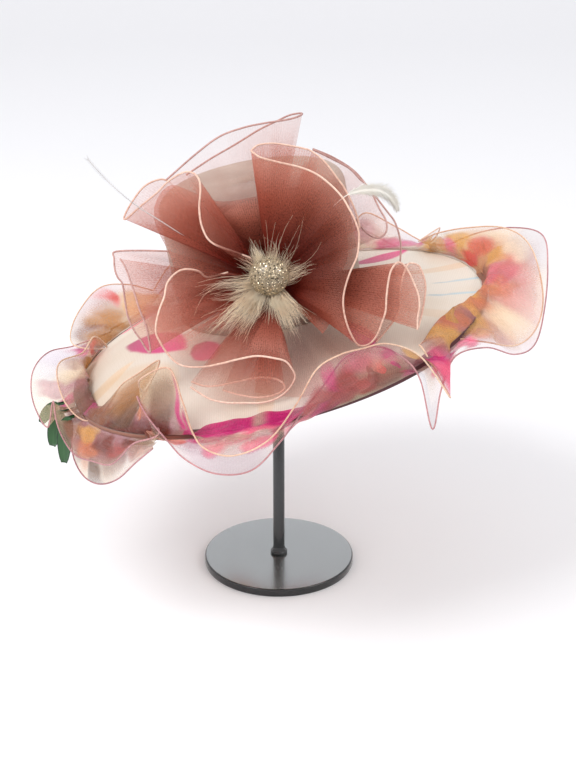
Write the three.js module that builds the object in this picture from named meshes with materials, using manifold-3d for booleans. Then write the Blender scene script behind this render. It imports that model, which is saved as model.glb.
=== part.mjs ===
// Sun hat on a display stand. Units are millimetres, +Z is up and the hat's front faces -Y.
import * as THREE from 'three';
import Module from 'manifold-3d';

const wasm = await Module();
wasm.setup();
const { Manifold, Mesh } = wasm;

// Named sizes
const GAP = 0.3;
const BASE = { radius: 84, thick: 9, round: 2 };
const POST = { radius: 6.45, collar: 9.5, top: 430 };
const REST = { radius: 70, rim: 400, wall: 3, boss: 11 };
const HAT = { lean: 10, rim: 275 };
const BRIM = { inner: 97, outer: 225, drop: 40, sweep: 20, thick: 2, sides: 36 };
const CROWN = { radius: 98, high: 172, round: 16, wall: 2 };
const BINDING = { over: 4, out: 2, wall: 1.2 };
const STRIP = { thick: 1.2, root: 227.5, apart: 2.4 };
const FLOWER = { x: -8, y: -100, z: 369, view: 23.2, root: 11.6, thick: 1.2 };

const rad = (degrees) => (degrees * Math.PI) / 180;
const lean = { c: Math.cos(rad(HAT.lean)), s: Math.sin(rad(HAT.lean)) };
const face = { c: Math.cos(rad(FLOWER.view)), s: Math.sin(rad(FLOWER.view)) };

// From the leaning hat's own axes to the part's axes, and back
function fromHat([x, y, z]) {
  return [x * lean.c - z * lean.s, y, HAT.rim + x * lean.s + z * lean.c];
}
function toHat([x, y, z]) {
  const up = z - HAT.rim;
  return [x * lean.c + up * lean.s, y, up * lean.c - x * lean.s];
}

// Height of the brim's middle surface at a radius and an azimuth
function brimHeight(radius, azimuth) {
  const out = (radius - BRIM.inner) / (BRIM.outer - BRIM.inner);
  return BRIM.drop * (1 - out) + BRIM.sweep * Math.cos(azimuth) * out * out;
}

// From the flower's own right, up and toward axes to the part's axes
function fromFlower([right, up, toward]) {
  return [
    FLOWER.x + right,
    FLOWER.y + face.s * up - face.c * toward,
    FLOWER.z + face.c * up + face.s * toward,
  ];
}

// How far a point is outside the crown and above the brim
function clearance(point) {
  const [x, y, z] = toHat(point);
  const radius = Math.hypot(x, y);
  const qr = radius - (CROWN.radius - CROWN.round);
  const qz = Math.abs(z - CROWN.high / 2) - (CROWN.high / 2 - CROWN.round);
  const outside = Math.hypot(Math.max(qr, 0), Math.max(qz, 0));
  const crown = outside + Math.min(Math.max(qr, qz), 0) - CROWN.round;
  if (radius > BRIM.outer + 6) {
    return crown;
  }
  const above = z - brimHeight(Math.max(radius, BRIM.inner), Math.atan2(y, x));
  return Math.min(crown, above);
}

// Moves a point toward the flower's front until it is clear of the crown and the brim
function lift(point, margin) {
  const moved = [...point];
  for (let n = 0; n < 80; n += 1) {
    const short = margin - clearance(moved);
    if (short <= 0.01) {
      break;
    }
    moved[1] -= face.c * short;
    moved[2] += face.s * short;
  }
  return moved;
}

// A smooth curve through rows of numbers, read at a place from 0 to 1
function curve(rows, place) {
  const last = rows.length - 1;
  const at = Math.min(Math.max(place, 0), 1) * last;
  const n = Math.min(Math.floor(at), last - 1);
  const t = at - n;
  const a = rows[Math.max(n - 1, 0)];
  const b = rows[n];
  const c = rows[n + 1];
  const d = rows[Math.min(n + 2, last)];
  return b.map((value, k) => {
    const slope = (c[k] - a[k]) / 2;
    const next = (d[k] - value) / 2;
    const rise = c[k] - value;
    const cubic = slope + next - 2 * rise;
    const square = 3 * rise - 2 * slope - next;
    return value + t * (slope + t * (square + t * cubic));
  });
}

function sub(a, b) {
  return [a[0] - b[0], a[1] - b[1], a[2] - b[2]];
}
function add(a, b, k = 1) {
  return [a[0] + b[0] * k, a[1] + b[1] * k, a[2] + b[2] * k];
}
function cross(a, b) {
  return [a[1] * b[2] - a[2] * b[1], a[2] * b[0] - a[0] * b[2], a[0] * b[1] - a[1] * b[0]];
}
function unit(a) {
  const size = Math.hypot(...a) || 1;
  return [a[0] / size, a[1] / size, a[2] / size];
}

// A closed solid from points and triangles
function solid(points, faces) {
  let volume = 0;
  for (const [a, b, c] of faces) {
    const n = cross(points[b], points[c]);
    volume += points[a][0] * n[0] + points[a][1] * n[1] + points[a][2] * n[2];
  }
  const order = volume < 0 ? faces.map(([a, b, c]) => [a, c, b]) : faces;
  const mesh = new Mesh({
    numProp: 3,
    vertProperties: new Float32Array(points.flat()),
    triVerts: new Uint32Array(order.flat()),
  });
  mesh.merge();
  return new Manifold(mesh);
}

// A closed profile of [radius, height] points turned about the Z axis
function turned(profile, sides) {
  const points = [];
  const faces = [];
  const index = profile.map(([radius]) => (radius < 1e-6 ? 1 : sides));
  const start = [];
  profile.forEach(([radius, height], n) => {
    start.push(points.length);
    for (let k = 0; k < index[n]; k += 1) {
      const turn = (2 * Math.PI * k) / sides;
      points.push([radius * Math.cos(turn), radius * Math.sin(turn), height]);
    }
  });
  for (let n = 0; n < profile.length; n += 1) {
    const m = (n + 1) % profile.length;
    for (let k = 0; k < sides; k += 1) {
      const k2 = (k + 1) % sides;
      const a = start[n] + (index[n] === 1 ? 0 : k);
      const b = start[n] + (index[n] === 1 ? 0 : k2);
      const c = start[m] + (index[m] === 1 ? 0 : k2);
      const d = start[m] + (index[m] === 1 ? 0 : k);
      if (index[n] !== 1) {
        faces.push([a, b, c]);
      }
      if (index[m] !== 1) {
        faces.push([a, c, d]);
      }
    }
  }
  return solid(points, faces);
}

// A ring whose cross-section of [radius, height] points is given for each azimuth
function ring(section, sides) {
  const points = [];
  const faces = [];
  const count = section(0).length;
  for (let n = 0; n < sides; n += 1) {
    const azimuth = (2 * Math.PI * n) / sides;
    for (const [radius, height] of section(azimuth)) {
      points.push(fromHat([radius * Math.cos(azimuth), radius * Math.sin(azimuth), height]));
    }
    const m = (n + 1) % sides;
    for (let k = 0; k < count; k += 1) {
      const k2 = (k + 1) % count;
      faces.push([n * count + k, m * count + k, m * count + k2]);
      faces.push([n * count + k, m * count + k2, n * count + k2]);
    }
  }
  return solid(points, faces);
}

// A grid of points on a surface with the surface's normals
function gridOf(surface, along, across, closed) {
  const rows = [];
  for (let i = 0; i <= along; i += 1) {
    rows.push([]);
    for (let j = 0; j <= across; j += 1) {
      rows[i].push(surface(i / along, j / across));
    }
  }
  return rows.map((row, i) => row.map((point, j) => {
    const before = i > 0 ? i - 1 : (closed ? along - 1 : 0);
    const after = i < along ? i + 1 : (closed ? 1 : along);
    const du = sub(rows[after][j], rows[before][j]);
    const dv = sub(rows[i][Math.min(j + 1, across)], rows[i][Math.max(j - 1, 0)]);
    return { point, normal: unit(cross(du, dv)) };
  }));
}

// A thin sheet built as one closed strip for each pair of rulings, all joined
function sheet(grid, thick, grow = 0) {
  const strips = [];
  const across = grid[0].length;
  const reach = grid.map((row) => row.map(({ point, normal }, j) => {
    const next = row[Math.min(j + 1, across - 1)].point;
    const before = row[Math.max(j - 1, 0)].point;
    const ahead = unit(sub(next, before));
    const end = j === 0 ? -grow : (j === across - 1 ? grow : 0);
    return { point: add(point, ahead, end), normal };
  }));
  for (let i = 0; i + 1 < grid.length; i += 1) {
    const points = [];
    const faces = [];
    for (const row of [reach[i], reach[i + 1]]) {
      for (const { point, normal } of row) {
        points.push(add(point, normal, thick / 2 + grow));
        points.push(add(point, normal, -thick / 2 - grow));
      }
    }
    const at = (side, j, under) => side * across * 2 + j * 2 + under;
    const quad = (p, q, r, s) => {
      faces.push([p, q, r]);
      faces.push([p, r, s]);
    };
    for (let j = 0; j + 1 < across; j += 1) {
      quad(at(0, j, 0), at(1, j, 0), at(1, j + 1, 0), at(0, j + 1, 0));
      quad(at(0, j, 1), at(0, j + 1, 1), at(1, j + 1, 1), at(1, j, 1));
      quad(at(0, j, 0), at(0, j + 1, 0), at(0, j + 1, 1), at(0, j, 1));
      quad(at(1, j, 0), at(1, j, 1), at(1, j + 1, 1), at(1, j + 1, 0));
    }
    quad(at(0, 0, 0), at(0, 0, 1), at(1, 0, 1), at(1, 0, 0));
    const last = across - 1;
    quad(at(0, last, 0), at(1, last, 0), at(1, last, 1), at(0, last, 1));
    strips.push(solid(points, faces));
  }
  return Manifold.union(strips);
}

// The largest separate body of a solid
function largest(manifold) {
  const bodies = manifold.decompose();
  bodies.sort((a, b) => b.volume() - a.volume());
  return bodies[0];
}

// A tube along points with a radius for each
function tube(points, radii, sides) {
  const verts = [];
  const faces = [];
  let side = [0.3, 0.2, 0.93];
  points.forEach((point, n) => {
    const before = points[Math.max(n - 1, 0)];
    const after = points[Math.min(n + 1, points.length - 1)];
    const ahead = unit(sub(after, before));
    const across = unit(cross(ahead, side));
    side = unit(cross(across, ahead));
    for (let k = 0; k < sides; k += 1) {
      const turn = (2 * Math.PI * k) / sides;
      const out = add(add([0, 0, 0], across, Math.cos(turn)), side, Math.sin(turn));
      verts.push(add(point, out, radii[n]));
    }
  });
  for (let n = 0; n + 1 < points.length; n += 1) {
    for (let k = 0; k < sides; k += 1) {
      const k2 = (k + 1) % sides;
      const a = n * sides;
      const b = a + sides;
      faces.push([a + k, a + k2, b + k2]);
      faces.push([a + k, b + k2, b + k]);
    }
  }
  const end = (points.length - 1) * sides;
  for (let k = 1; k + 1 < sides; k += 1) {
    faces.push([0, k + 1, k]);
    faces.push([end, end + k, end + k + 1]);
  }
  return solid(verts, faces);
}

// Stand
function arc(radius, centre, from, to, steps) {
  const points = [];
  for (let n = 0; n <= steps; n += 1) {
    const turn = rad(from + ((to - from) * n) / steps);
    points.push([radius * Math.cos(turn), centre + radius * Math.sin(turn)]);
  }
  return points;
}

const baseSolid = turned([
  [0, 0],
  [BASE.radius - 1, 0],
  [BASE.radius, 1],
  [BASE.radius, BASE.thick - BASE.round],
  [BASE.radius - 0.6, BASE.thick - 0.6],
  [BASE.radius - BASE.round, BASE.thick],
  [0, BASE.thick],
], 40);

const postFoot = BASE.thick + GAP;
const postSolid = turned([
  [0, postFoot],
  [POST.collar, postFoot],
  [POST.collar, postFoot + 3],
  [POST.radius + 1, postFoot + 5],
  [POST.radius, postFoot + 9],
  [POST.radius, POST.top],
  [0, POST.top],
], 20);

const insideTop = CROWN.high - CROWN.wall;
const restCentre = HAT.rim + (insideTop - REST.radius - GAP) / lean.c;
const outerRim = (Math.asin((REST.rim - restCentre) / REST.radius) * 180) / Math.PI;
const innerRadius = REST.radius - REST.wall;
const innerRim = (Math.asin((REST.rim - restCentre) / innerRadius) * 180) / Math.PI;
const bossRim = (Math.acos(REST.boss / innerRadius) * 180) / Math.PI;
const restOuter = arc(REST.radius, restCentre, 90, outerRim, 4);
const restInner = arc(innerRadius, restCentre, innerRim, bossRim, 3);
restOuter[0][0] = 0;
const restSolid = turned([
  ...restOuter,
  ...restInner,
  [REST.boss, 394],
  [POST.radius + GAP, 394],
  [POST.radius + GAP, POST.top + GAP],
  [0, POST.top + GAP],
], 20);

// Crown and brim
function crownProfile(radius, top, round) {
  const points = [];
  for (let n = 0; n <= 3; n += 1) {
    const turn = rad((90 * n) / 3);
    points.push([radius - round + round * Math.cos(turn), top - round + round * Math.sin(turn)]);
  }
  return points;
}
const crownFoot = BRIM.drop + BRIM.thick / 2 + GAP;
const crownInner = CROWN.radius - CROWN.wall;
const crownSolid = turned([
  [CROWN.radius, crownFoot],
  ...crownProfile(CROWN.radius, CROWN.high, CROWN.round),
  [0, CROWN.high],
  [0, insideTop],
  ...crownProfile(crownInner, insideTop, CROWN.round - CROWN.wall).reverse(),
  [crownInner, crownFoot],
], 32).rotate([0, -HAT.lean, 0]).translate([0, 0, HAT.rim]);

function brimRing(inner, half) {
  const radii = [inner, (inner + BRIM.outer) / 2, BRIM.outer - BINDING.over, BRIM.outer];
  return ring((azimuth) => {
    const height = (radius) => brimHeight(Math.max(radius, BRIM.inner), azimuth);
    const upper = radii.map((radius) => [radius, height(radius) + half]);
    const under = radii.map((radius) => [radius, height(radius) - half]);
    return [...upper, ...under.reverse()];
  }, BRIM.sides);
}
const brimSolid = brimRing(BRIM.inner - 1, BRIM.thick / 2);

// The binding's outline, grown by a margin, with or without its slot for the brim's edge
function bindingRing(grow, slotted) {
  return ring((azimuth) => {
    const edge = brimHeight(BRIM.outer, azimuth);
    const lip = BRIM.outer - BINDING.over;
    const back = brimHeight(lip, azimuth);
    const half = BRIM.thick / 2 + GAP;
    const rise = half + BINDING.wall + grow;
    const inside = BRIM.outer + GAP;
    const outside = BRIM.outer + BINDING.out + grow;
    const outline = [
      [lip - grow, back + rise],
      [outside, edge + rise],
      [outside, edge - rise],
      [lip - grow, back - rise],
    ];
    const slot = [
      [lip, back - half],
      [inside, edge - half],
      [inside, edge + half],
      [lip, back + half],
    ];
    return slotted ? [...outline, ...slot] : outline;
  }, BRIM.sides);
}
const bindingSolid = bindingRing(0, true);

// Hem rows: azimuth at the root and at the hem, the hem's reach outward and rise above the rim,
// and how far outward and upward the strip bends before it gets there
const HEM = ['root', 'hem', 'reach', 'rise', 'out', 'up'];
const upperHem = [
  [126, 126, 34, 12, 16, 4], [133, 134, 30, 36, 16, 6], [139, 141, 42, 44, 16, 8],
  [145, 148, 52, 26, 16, 6], [151, 153, 50, 8, 16, 2], [157, 158, 24, 6, 8, 4],
  [163, 160, -16, 8, -4, 8], [169, 167, -18, 34, -14, 24], [175, 176, -12, 30, -30, 30],
  [182, 183, 8, 34, -40, 34], [189, 191, 12, 26, -44, 34], [196, 198, 10, 8, -40, 30],
  [202, 207, 0, -2, -30, 24], [208, 213, -18, 14, -10, 14], [213, 215, -34, 32, -6, 10],
  [218, 221, -46, 44, -6, 8], [224, 231, -52, 58, -10, 8], [230, 231, -24, 38, -4, 6],
  [236, 236, -4, 60, 4, 10], [241, 245, -6, 70, 6, 12], [246, 249, 8, 40, 12, 8],
  [251, 251, 18, 14, 18, 2], [257, 254, 26, -2, 20, 0], [264, 260, 28, -12, 20, 0],
  [271, 268, 26, -4, 20, 0], [279, 275, 22, 22, 18, 4], [286, 281, 12, 46, 12, 8],
  [293, 287, 6, 50, 8, 10], [300, 293, 0, 45, 4, 10], [307, 301, -4, 36, 4, 8],
  [313, 308, 6, 12, 12, 4], [318, 312, 20, -36, 16, -4], [322, 312, -6, 8, 4, 6],
  [325, 314, -18, 10, -16, 16], [330, 321, -14, 6, -34, 30], [336, 329, 14, -12, -40, 36],
  [342, 338, 34, -34, -34, 36], [349, 348, 48, -34, -20, 34], [357, 357, 56, -14, -6, 34],
  [365, 365, 54, 22, 4, 24], [373, 375, 42, 33, 6, 20], [381, 385, 16, 31, 0, 20],
  [389, 391, -8, 28, -6, 16], [396, 398, -16, 18, 2, 8],
];
const lowerHem = [
  [126, 127, 38, -4, 16, -4], [134, 135, 34, -8, 16, -4], [142, 142, 30, -4, 16, -4],
  [150, 148, 12, 4, 14, -2], [157, 156, 36, 4, 16, 0], [164, 163, 50, 12, 18, 0],
  [171, 172, 52, 12, 20, 0], [178, 181, 48, 4, 20, 0], [184, 189, 42, -6, 18, -2],
  [189, 197, 34, -12, 16, -4], [193, 192, 22, 6, 14, -4], [198, 197, 24, -6, 14, -6],
  [204, 204, 26, -16, 14, -8], [211, 211, 26, -26, 14, -10], [218, 218, 22, -27, 12, -12],
  [224, 225, 18, -26, 12, -10], [229, 232, 10, -4, 10, -8], [233, 240, 4, 8, 8, -6],
  [236, 232, -10, 38, 0, 4], [240, 237.5, 4, 24, 8, 0], [245, 243, 12, 4, 14, -4],
  [250, 248, 20, -14, 16, -8], [257, 255, 24, -30, 16, -10], [264, 263, 24, -32, 16, -10],
  [271, 270, 20, -12, 16, -6], [278, 276, 16, 10, 14, 0], [285, 283, 8, 30, 10, 6],
  [291, 289, 2, 44, 6, 10], [297, 298, -4, 38, 4, 10], [303, 304, 2, 16, 6, 6],
  [308, 306, 10, -8, 10, -2], [312, 305.5, 20, -56, 12, -10], [316, 311, 14, -26, 10, -6],
  [321, 319, 8, -8, 8, -4], [328, 328, 20, -16, 14, -6], [336, 336, 34, -40, 16, -8],
  [344, 344, 46, -46, 18, -10], [352, 353, 56, -24, 20, -8], [360, 361, 66, 4, 22, -4],
  [368, 370, 74, 24, 22, -2], [376, 379, 58, 25, 18, 0], [384, 387, 34, 18, 14, 0],
  [392, 394, 16, 6, 14, -2], [400, 401, 20, 0, 14, -2],
];
const underHem = [
  [201, 201, 14, -24, 8, -8], [204, 204, 20, -36, 12, -14], [208, 208, 22, -48, 12, -16],
  [214, 213, 22, -54, 12, -18], [220, 219, 20, -53, 12, -18], [226, 225, 15, -44, 10, -14],
  [232, 231, 9, -26, 8, -10], [238, 237, 5, -10, 6, -6],
];

// Regular waves carry a strip round the back from one azimuth to another
function backHem(count, first, last, reach, rise) {
  const rows = [];
  for (let n = 1; n < count; n += 1) {
    const azimuth = first + ((last - first) * n) / count;
    const wave = Math.cos((n * Math.PI) / 2);
    rows.push([azimuth, azimuth, reach - 12 * wave, rise + 24 * wave, 16, rise * 0.2]);
  }
  return rows;
}

// A strip that goes right round ends on the row that it starts with
function allRound(rows, reach, rise) {
  const [root, hem, ...rest] = rows[0];
  const last = rows[rows.length - 1][0];
  const back = backHem(13, last, root + 360, reach, rise);
  return [...rows, ...back, [root + 360, hem + 360, ...rest]];
}
const strips = {
  ruffle_upper: { layer: 1, rows: allRound(upperHem, 38, 14), closed: true },
  ruffle_lower: { layer: -1, rows: allRound(lowerHem, 42, -8), closed: true },
  ruffle_under: { layer: -2.4, rows: underHem, closed: false },
};

// A strip's surface: the root follows the binding, bends and goes on to the hem
function stripSurface({ layer, rows }) {
  return (place, down) => {
    const row = curve(rows, place);
    const { root, hem, reach, rise, out, up } = Object.fromEntries(HEM.map((name, k) => [name, row[k]]));
    const turn = rad(root);
    const start = brimHeight(BRIM.outer, turn) + layer * STRIP.apart;
    const from = [STRIP.root * Math.cos(turn), STRIP.root * Math.sin(turn), start];
    const at = rad(hem);
    const far = STRIP.root + reach;
    const to = [far * Math.cos(at), far * Math.sin(at), brimHeight(BRIM.outer, at) + rise];
    const half = rad((root + hem) / 2);
    const bow = STRIP.root + out;
    const bend = [bow * Math.cos(half), bow * Math.sin(half), start + up];
    const t = down;
    const mix = (k) => (1 - t) * (1 - t) * from[k] + 2 * t * (1 - t) * bend[k] + t * t * to[k];
    return fromHat([mix(0), mix(1), mix(2)]);
  };
}

// Petals: hem rows of right, up and toward from the flower's middle, and how each sheet lies.
// Each is made of a number of steps along its hem.
const petals = {
  petal_lower_left: {
    clear: 12, bulge: 10, spiral: -8, order: 1, steps: 21,
    hem: [
      [-40, 8, 36], [-59, 3, 42], [-67, 8, 46], [-76, 10, 48], [-85, 9, 50], [-93, 3, 52],
      [-98, -5, 54], [-100, -17, 58], [-104, -28, 60], [-107, -41, 64], [-107, -52, 68],
      [-102, -62, 72], [-96, -71, 76], [-87, -80, 80], [-76, -84, 84], [-60, -84, 86],
      [-44, -81, 88], [-28, -77, 88], [-11, -74, 88], [5, -76, 88], [16, -79, 86], [22, -86, 84],
      [25, -93, 82], [22, -101, 80], [15, -109, 79], [5, -115, 78], [-8, -118, 78],
      [-22, -118, 78], [-38, -118, 77], [-54, -115, 76], [-65, -109, 75], [-74, -103, 74],
    ],
  },
  petal_right: {
    clear: 12, bulge: 8, spiral: -11, order: 2, steps: 24,
    hem: [
      [-18, 127, 30], [-9, 120, 34], [7, 115, 38], [30, 109, 42], [46, 102, 44], [60, 91, 46],
      [70, 80, 48], [76, 70, 50], [82, 58, 52], [86, 46, 54], [86, 34, 56], [84, 21, 58],
      [77, 5, 58], [72, -12, 58], [71, -25, 60], [73, -38, 62], [77, -50, 64], [83, -61, 64],
      [88, -64, 63], [96, -62, 61], [103, -54, 58], [108, -42, 54], [112, -30, 51],
      [113, -16, 48], [115, -1, 46], [118, 10, 44], [124, 17, 42], [130, 15, 42], [135, 8, 42],
      [140, -3, 43], [144, -14, 44], [145, -25, 45], [143, -38, 46], [143, -48, 47],
    ],
  },
  petal_left: {
    clear: 10, bulge: 10, spiral: -8, order: 3, steps: 12,
    hem: [
      [-18, 22, 34], [-32, 27, 40], [-55, 36, 46], [-64, 50, 49], [-67, 68, 49], [-66, 87, 47],
      [-68, 98, 45], [-75, 104, 43], [-84, 104, 39], [-97, 97, 35], [-110, 85, 31],
      [-126, 73, 25], [-140, 62, 18], [-143, 65, 10], [-136, 80, 4], [-124, 96, 0],
      [-109, 103, -2], [-99, 101, -4],
    ],
  },
  petal_top: {
    clear: 6, bulge: 4, spiral: -8, order: 5, steps: 9,
    hem: [
      [-101, 100, 18], [-72, 125, 20], [-49, 142, 20], [-26, 151, 18], [-6, 156, 14],
      [19, 161, 8], [31, 166, 2], [31, 169, -4], [20, 168, -9], [6, 162, -12],
      [-11, 154, -14], [-34, 140, -15], [-60, 125, -16], [-84, 109, -16],
    ],
  },
  petal_right_back: {
    clear: 8, bulge: 6, spiral: 0, order: 4, steps: 8,
    hem: [
      [-18, 128, 20], [-11, 134, 18], [4, 136, 16], [19, 134, 16], [34, 131, 16], [42, 128, 16],
      [54, 118, 17], [64, 105, 19], [73, 92, 22], [80, 78, 26], [85, 65, 30], [88, 51, 34],
    ],
  },
  petal_loop_right: {
    clear: 4, bulge: 4, spiral: 7, order: 6, steps: 8,
    hem: [
      [43, 133, -4], [60, 125, -6], [79, 115, -8], [90, 104, -8], [99, 95, -6], [109, 74, -2],
      [115, 63, 0], [116, 53, 4], [112, 46, 8], [104, 44, 11], [94, 50, 13], [85, 62, 14],
    ],
  },
  petal_back_right: {
    clear: 3, bulge: 2, spiral: 0, order: 7, steps: 6,
    hem: [
      [43, 136, -20], [63, 128, -22], [84, 115, -24], [99, 98, -24], [118, 73, -20],
      [125, 63, -17], [129, 51, -14], [131, 38, -11], [130, 19, -8],
    ],
  },
  petal_lower_right: {
    clear: 4, bulge: 4, spiral: -6, order: 8, steps: 10,
    hem: [
      [104, -60, 34], [114, -48, 31], [123, -36, 28], [127, -25, 26], [127, -12, 25],
      [129, -1, 24], [132, 9, 22], [136, 17, 20], [141, 18, 19], [147, 15, 19], [151, 6, 20],
      [153, -4, 21], [152, -16, 23], [149, -32, 26], [145, -46, 30],
    ],
  },
  petal_lower_inner: {
    clear: 4, bulge: 6, spiral: -6, order: 9, steps: 8,
    hem: [
      [-74, -98, 60], [-62, -102, 62], [-50, -102, 64], [-30, -98, 66], [-11, -94, 67],
      [5, -95, 68], [14, -100, 68], [14, -106, 66], [4, -111, 64], [-12, -113, 63],
      [-30, -110, 62], [-44, -106, 61],
    ],
  },
  petal_far_left: {
    clear: 3, bulge: 4, spiral: 6, order: 10, steps: 13,
    hem: [
      [-98, 31, 4], [-126, 32, 2], [-153, 31, 0], [-154, 24, 2], [-153, 13, 4], [-150, 5, 6],
      [-145, -2, 8], [-142, -19, 12], [-139, -34, 16], [-133, -47, 20], [-125, -58, 26],
      [-119, -67, 32], [-115, -69, 36], [-117, -58, 30], [-120, -44, 26], [-127, -27, 22],
      [-133, -9, 18], [-141, 13, 14], [-147, 23, 12],
    ],
  },
};

// A petal's surface: rulings from the root ring to the hem, billowed and pleated
function petalSurface({ hem, bulge, clear, spiral }, depth) {
  return (place, out) => {
    const rootDepth = depth + spiral * (place - 0.5);
    const tip = curve(hem, place);
    const turn = Math.atan2(tip[1], tip[0]);
    const reach = Math.hypot(tip[0], tip[1]);
    const start = FLOWER.root;
    const along = start + (reach - start) * out;
    const pleat = 1.6 * Math.sin(place * hem.length * 2.1) * Math.sin(Math.PI * out);
    const billow = bulge * Math.sin(Math.PI * Math.pow(out, 0.8)) + pleat;
    const toward = rootDepth + (tip[2] - rootDepth) * Math.pow(out, 0.75) + billow;
    const point = fromFlower([along * Math.cos(turn), along * Math.sin(turn), toward]);
    return lift(point, clear * Math.min(1, 0.25 + out));
  };
}

// Flower middle
const hubFront = 26;
function facing(manifold) {
  return manifold
    .rotate([90 - FLOWER.view, 0, 0])
    .translate([FLOWER.x, FLOWER.y, FLOWER.z]);
}
const hubSolid = facing(turned([
  [0, -12],
  [11, -12],
  [11, hubFront - 1],
  [10, hubFront],
  [0, hubFront],
], 24)).subtract(turned([
  [0, -20],
  [CROWN.radius + GAP, -20],
  ...crownProfile(CROWN.radius + GAP, CROWN.high + GAP, CROWN.round),
  [0, CROWN.high + GAP],
], 64).rotate([0, -HAT.lean, 0]).translate([0, 0, HAT.rim]));

// Brooch
const broochBack = 44;
const broochSolid = facing(turned([
  [0, broochBack],
  [18, broochBack],
  [19, broochBack + 1],
  [19, broochBack + 3.5],
  [17.6, broochBack + 5],
  [14, broochBack + 9],
  [8.5, broochBack + 11.6],
  [0, broochBack + 12.6],
], 24)).translate([0, 0, 4]);

// Marabou tufts: each lock runs from the head to its tip at right, up and toward
const locks = [
  { right: -43, up: -52, toward: 88, wide: 8 },
  { right: -34, up: -58, toward: 90, wide: 9 },
  { right: -30, up: -34, toward: 74, wide: 9 },
  { right: -12, up: -38, toward: 72, wide: 7 },
  { right: 28, up: -60, toward: 74, wide: 8 },
  { right: 18, up: -52, toward: 74, wide: 9 },
  { right: 34, up: -40, toward: 66, wide: 7 },
  { right: 40, up: 10, toward: 58, wide: 5 },
  { right: 18, up: 56, toward: 56, wide: 5 },
  { right: -8, up: 33, toward: 54, wide: 8 },
  { right: -26, up: 26, toward: 54, wide: 6 },
];
function lockSolid({ right, up, toward, wide }) {
  const points = [];
  const radii = [];
  const reach = Math.hypot(right, up);
  for (let n = 0; n <= 3; n += 1) {
    const t = n / 3;
    const past = Math.max(0, reach * t - 16) / (reach - 16);
    const rise = 38 + (toward - 38) * past + 4 * Math.sin(Math.PI * past);
    points.push(fromFlower([right * t, up * t, rise]));
    radii.push(0.35 + (wide / 2) * Math.sin(Math.PI * (0.12 + 0.86 * t)));
  }
  return tube(points, radii, 4);
}
const tuftHead = facing(turned([
  [0, hubFront + GAP],
  [11.5, hubFront + GAP],
  [14.5, hubFront + 8],
  [14, broochBack - GAP],
  [0, broochBack - GAP],
], 24));

// A blade of given half widths along a curve, facing one way and dished a little across
function blade(points, halves, facingWay, dish) {
  const last = points.length - 1;
  const surface = (place, over) => {
    const n = Math.round(place * last);
    const ahead = unit(sub(points[Math.min(n + 1, last)], points[Math.max(n - 1, 0)]));
    const side = unit(cross(ahead, facingWay));
    const out = unit(cross(side, ahead));
    const at = 2 * over - 1;
    return add(add(points[n], side, at * halves[n]), out, -dish * (1 - at * at));
  };
  return sheet(gridOf(surface, last, 2, false), 1);
}

// Feathers
const viewLine = [0, -face.c, face.s];
const whiteRows = [
  [62, 71, 46.4], [70, 78, 47], [78, 83, 47.5], [88, 86, 47], [98, 87, 45], [108, 86, 42],
  [116, 82, 39], [122, 75, 35], [125, 68, 31],
];
const whiteSolid = blade(whiteRows.map(fromFlower), [0.8, 1, 1.5, 4, 5.5, 6, 5, 3.5, 1], viewLine, -1);

const quillRows = [
  [-80, 43, 22], [-88, 47, 33], [-104, 57, 37], [-120, 67, 36], [-138, 80, 31], [-160, 100, 24],
  [-178, 120, 18],
];
const quillSolid = tube(quillRows.map(fromFlower), [1, 1, 1, 1, 1, 1.6, 0.5], 6);

// Leaves hang under the left of the brim: where each tip is, and half the leaf's width
const LEAF = { tucked: 12, stalk: 0.4, under: 4 };
const leaves = [
  { from: 189, tip: 188, reach: 44, drop: 26, wide: 9 },
  { from: 194, tip: 195, reach: 36, drop: 44, wide: 12 },
  { from: 199, tip: 200, reach: 29, drop: 58, wide: 11 },
];
function leafSolid({ from, tip, reach, drop, wide }) {
  const points = [];
  const halves = [];
  for (let n = 0; n <= 7; n += 1) {
    const t = n / 7;
    const turn = rad(from + (tip - from) * t);
    const radius = BRIM.outer - LEAF.tucked + (reach + LEAF.tucked) * t;
    const past = Math.max(0, (t - LEAF.stalk) / (1 - LEAF.stalk));
    const fall = LEAF.under + (drop - LEAF.under) * past * (0.4 + 0.6 * past);
    const height = brimHeight(BRIM.outer, turn) - fall;
    points.push(fromHat([radius * Math.cos(turn), radius * Math.sin(turn), height]));
    halves.push(1.6 + (wide - 1.6) * Math.sqrt(Math.sin(Math.PI * 0.95 * past)));
  }
  return blade(points, halves, [-0.3, -0.8, 0.5], 1.5);
}

// Looks
const looks = {
  stand: { color: 0x0c0c0e, roughness: 0.18, metalness: 0.2 },
  crown: { color: 0x9b8f80, roughness: 0.75, metalness: 0 },
  brim: { color: 0xeee2d0, roughness: 0.6, metalness: 0 },
  binding: { color: 0x501e28, roughness: 0.7, metalness: 0 },
  ruffle: { color: 0xdca98c, roughness: 0.6, metalness: 0 },
  flower: { color: 0xa55a44, roughness: 0.6, metalness: 0 },
  brooch: { color: 0xd9d2c6, roughness: 0.2, metalness: 0.6 },
  tufts: { color: 0xe8dcc8, roughness: 0.9, metalness: 0 },
  white: { color: 0xf2efe8, roughness: 0.8, metalness: 0 },
  leaf: { color: 0x326e3c, roughness: 0.35, metalness: 0 },
};

const group = new THREE.Group();
group.name = 'sun_hat_on_stand';
const placed = [];

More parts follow.
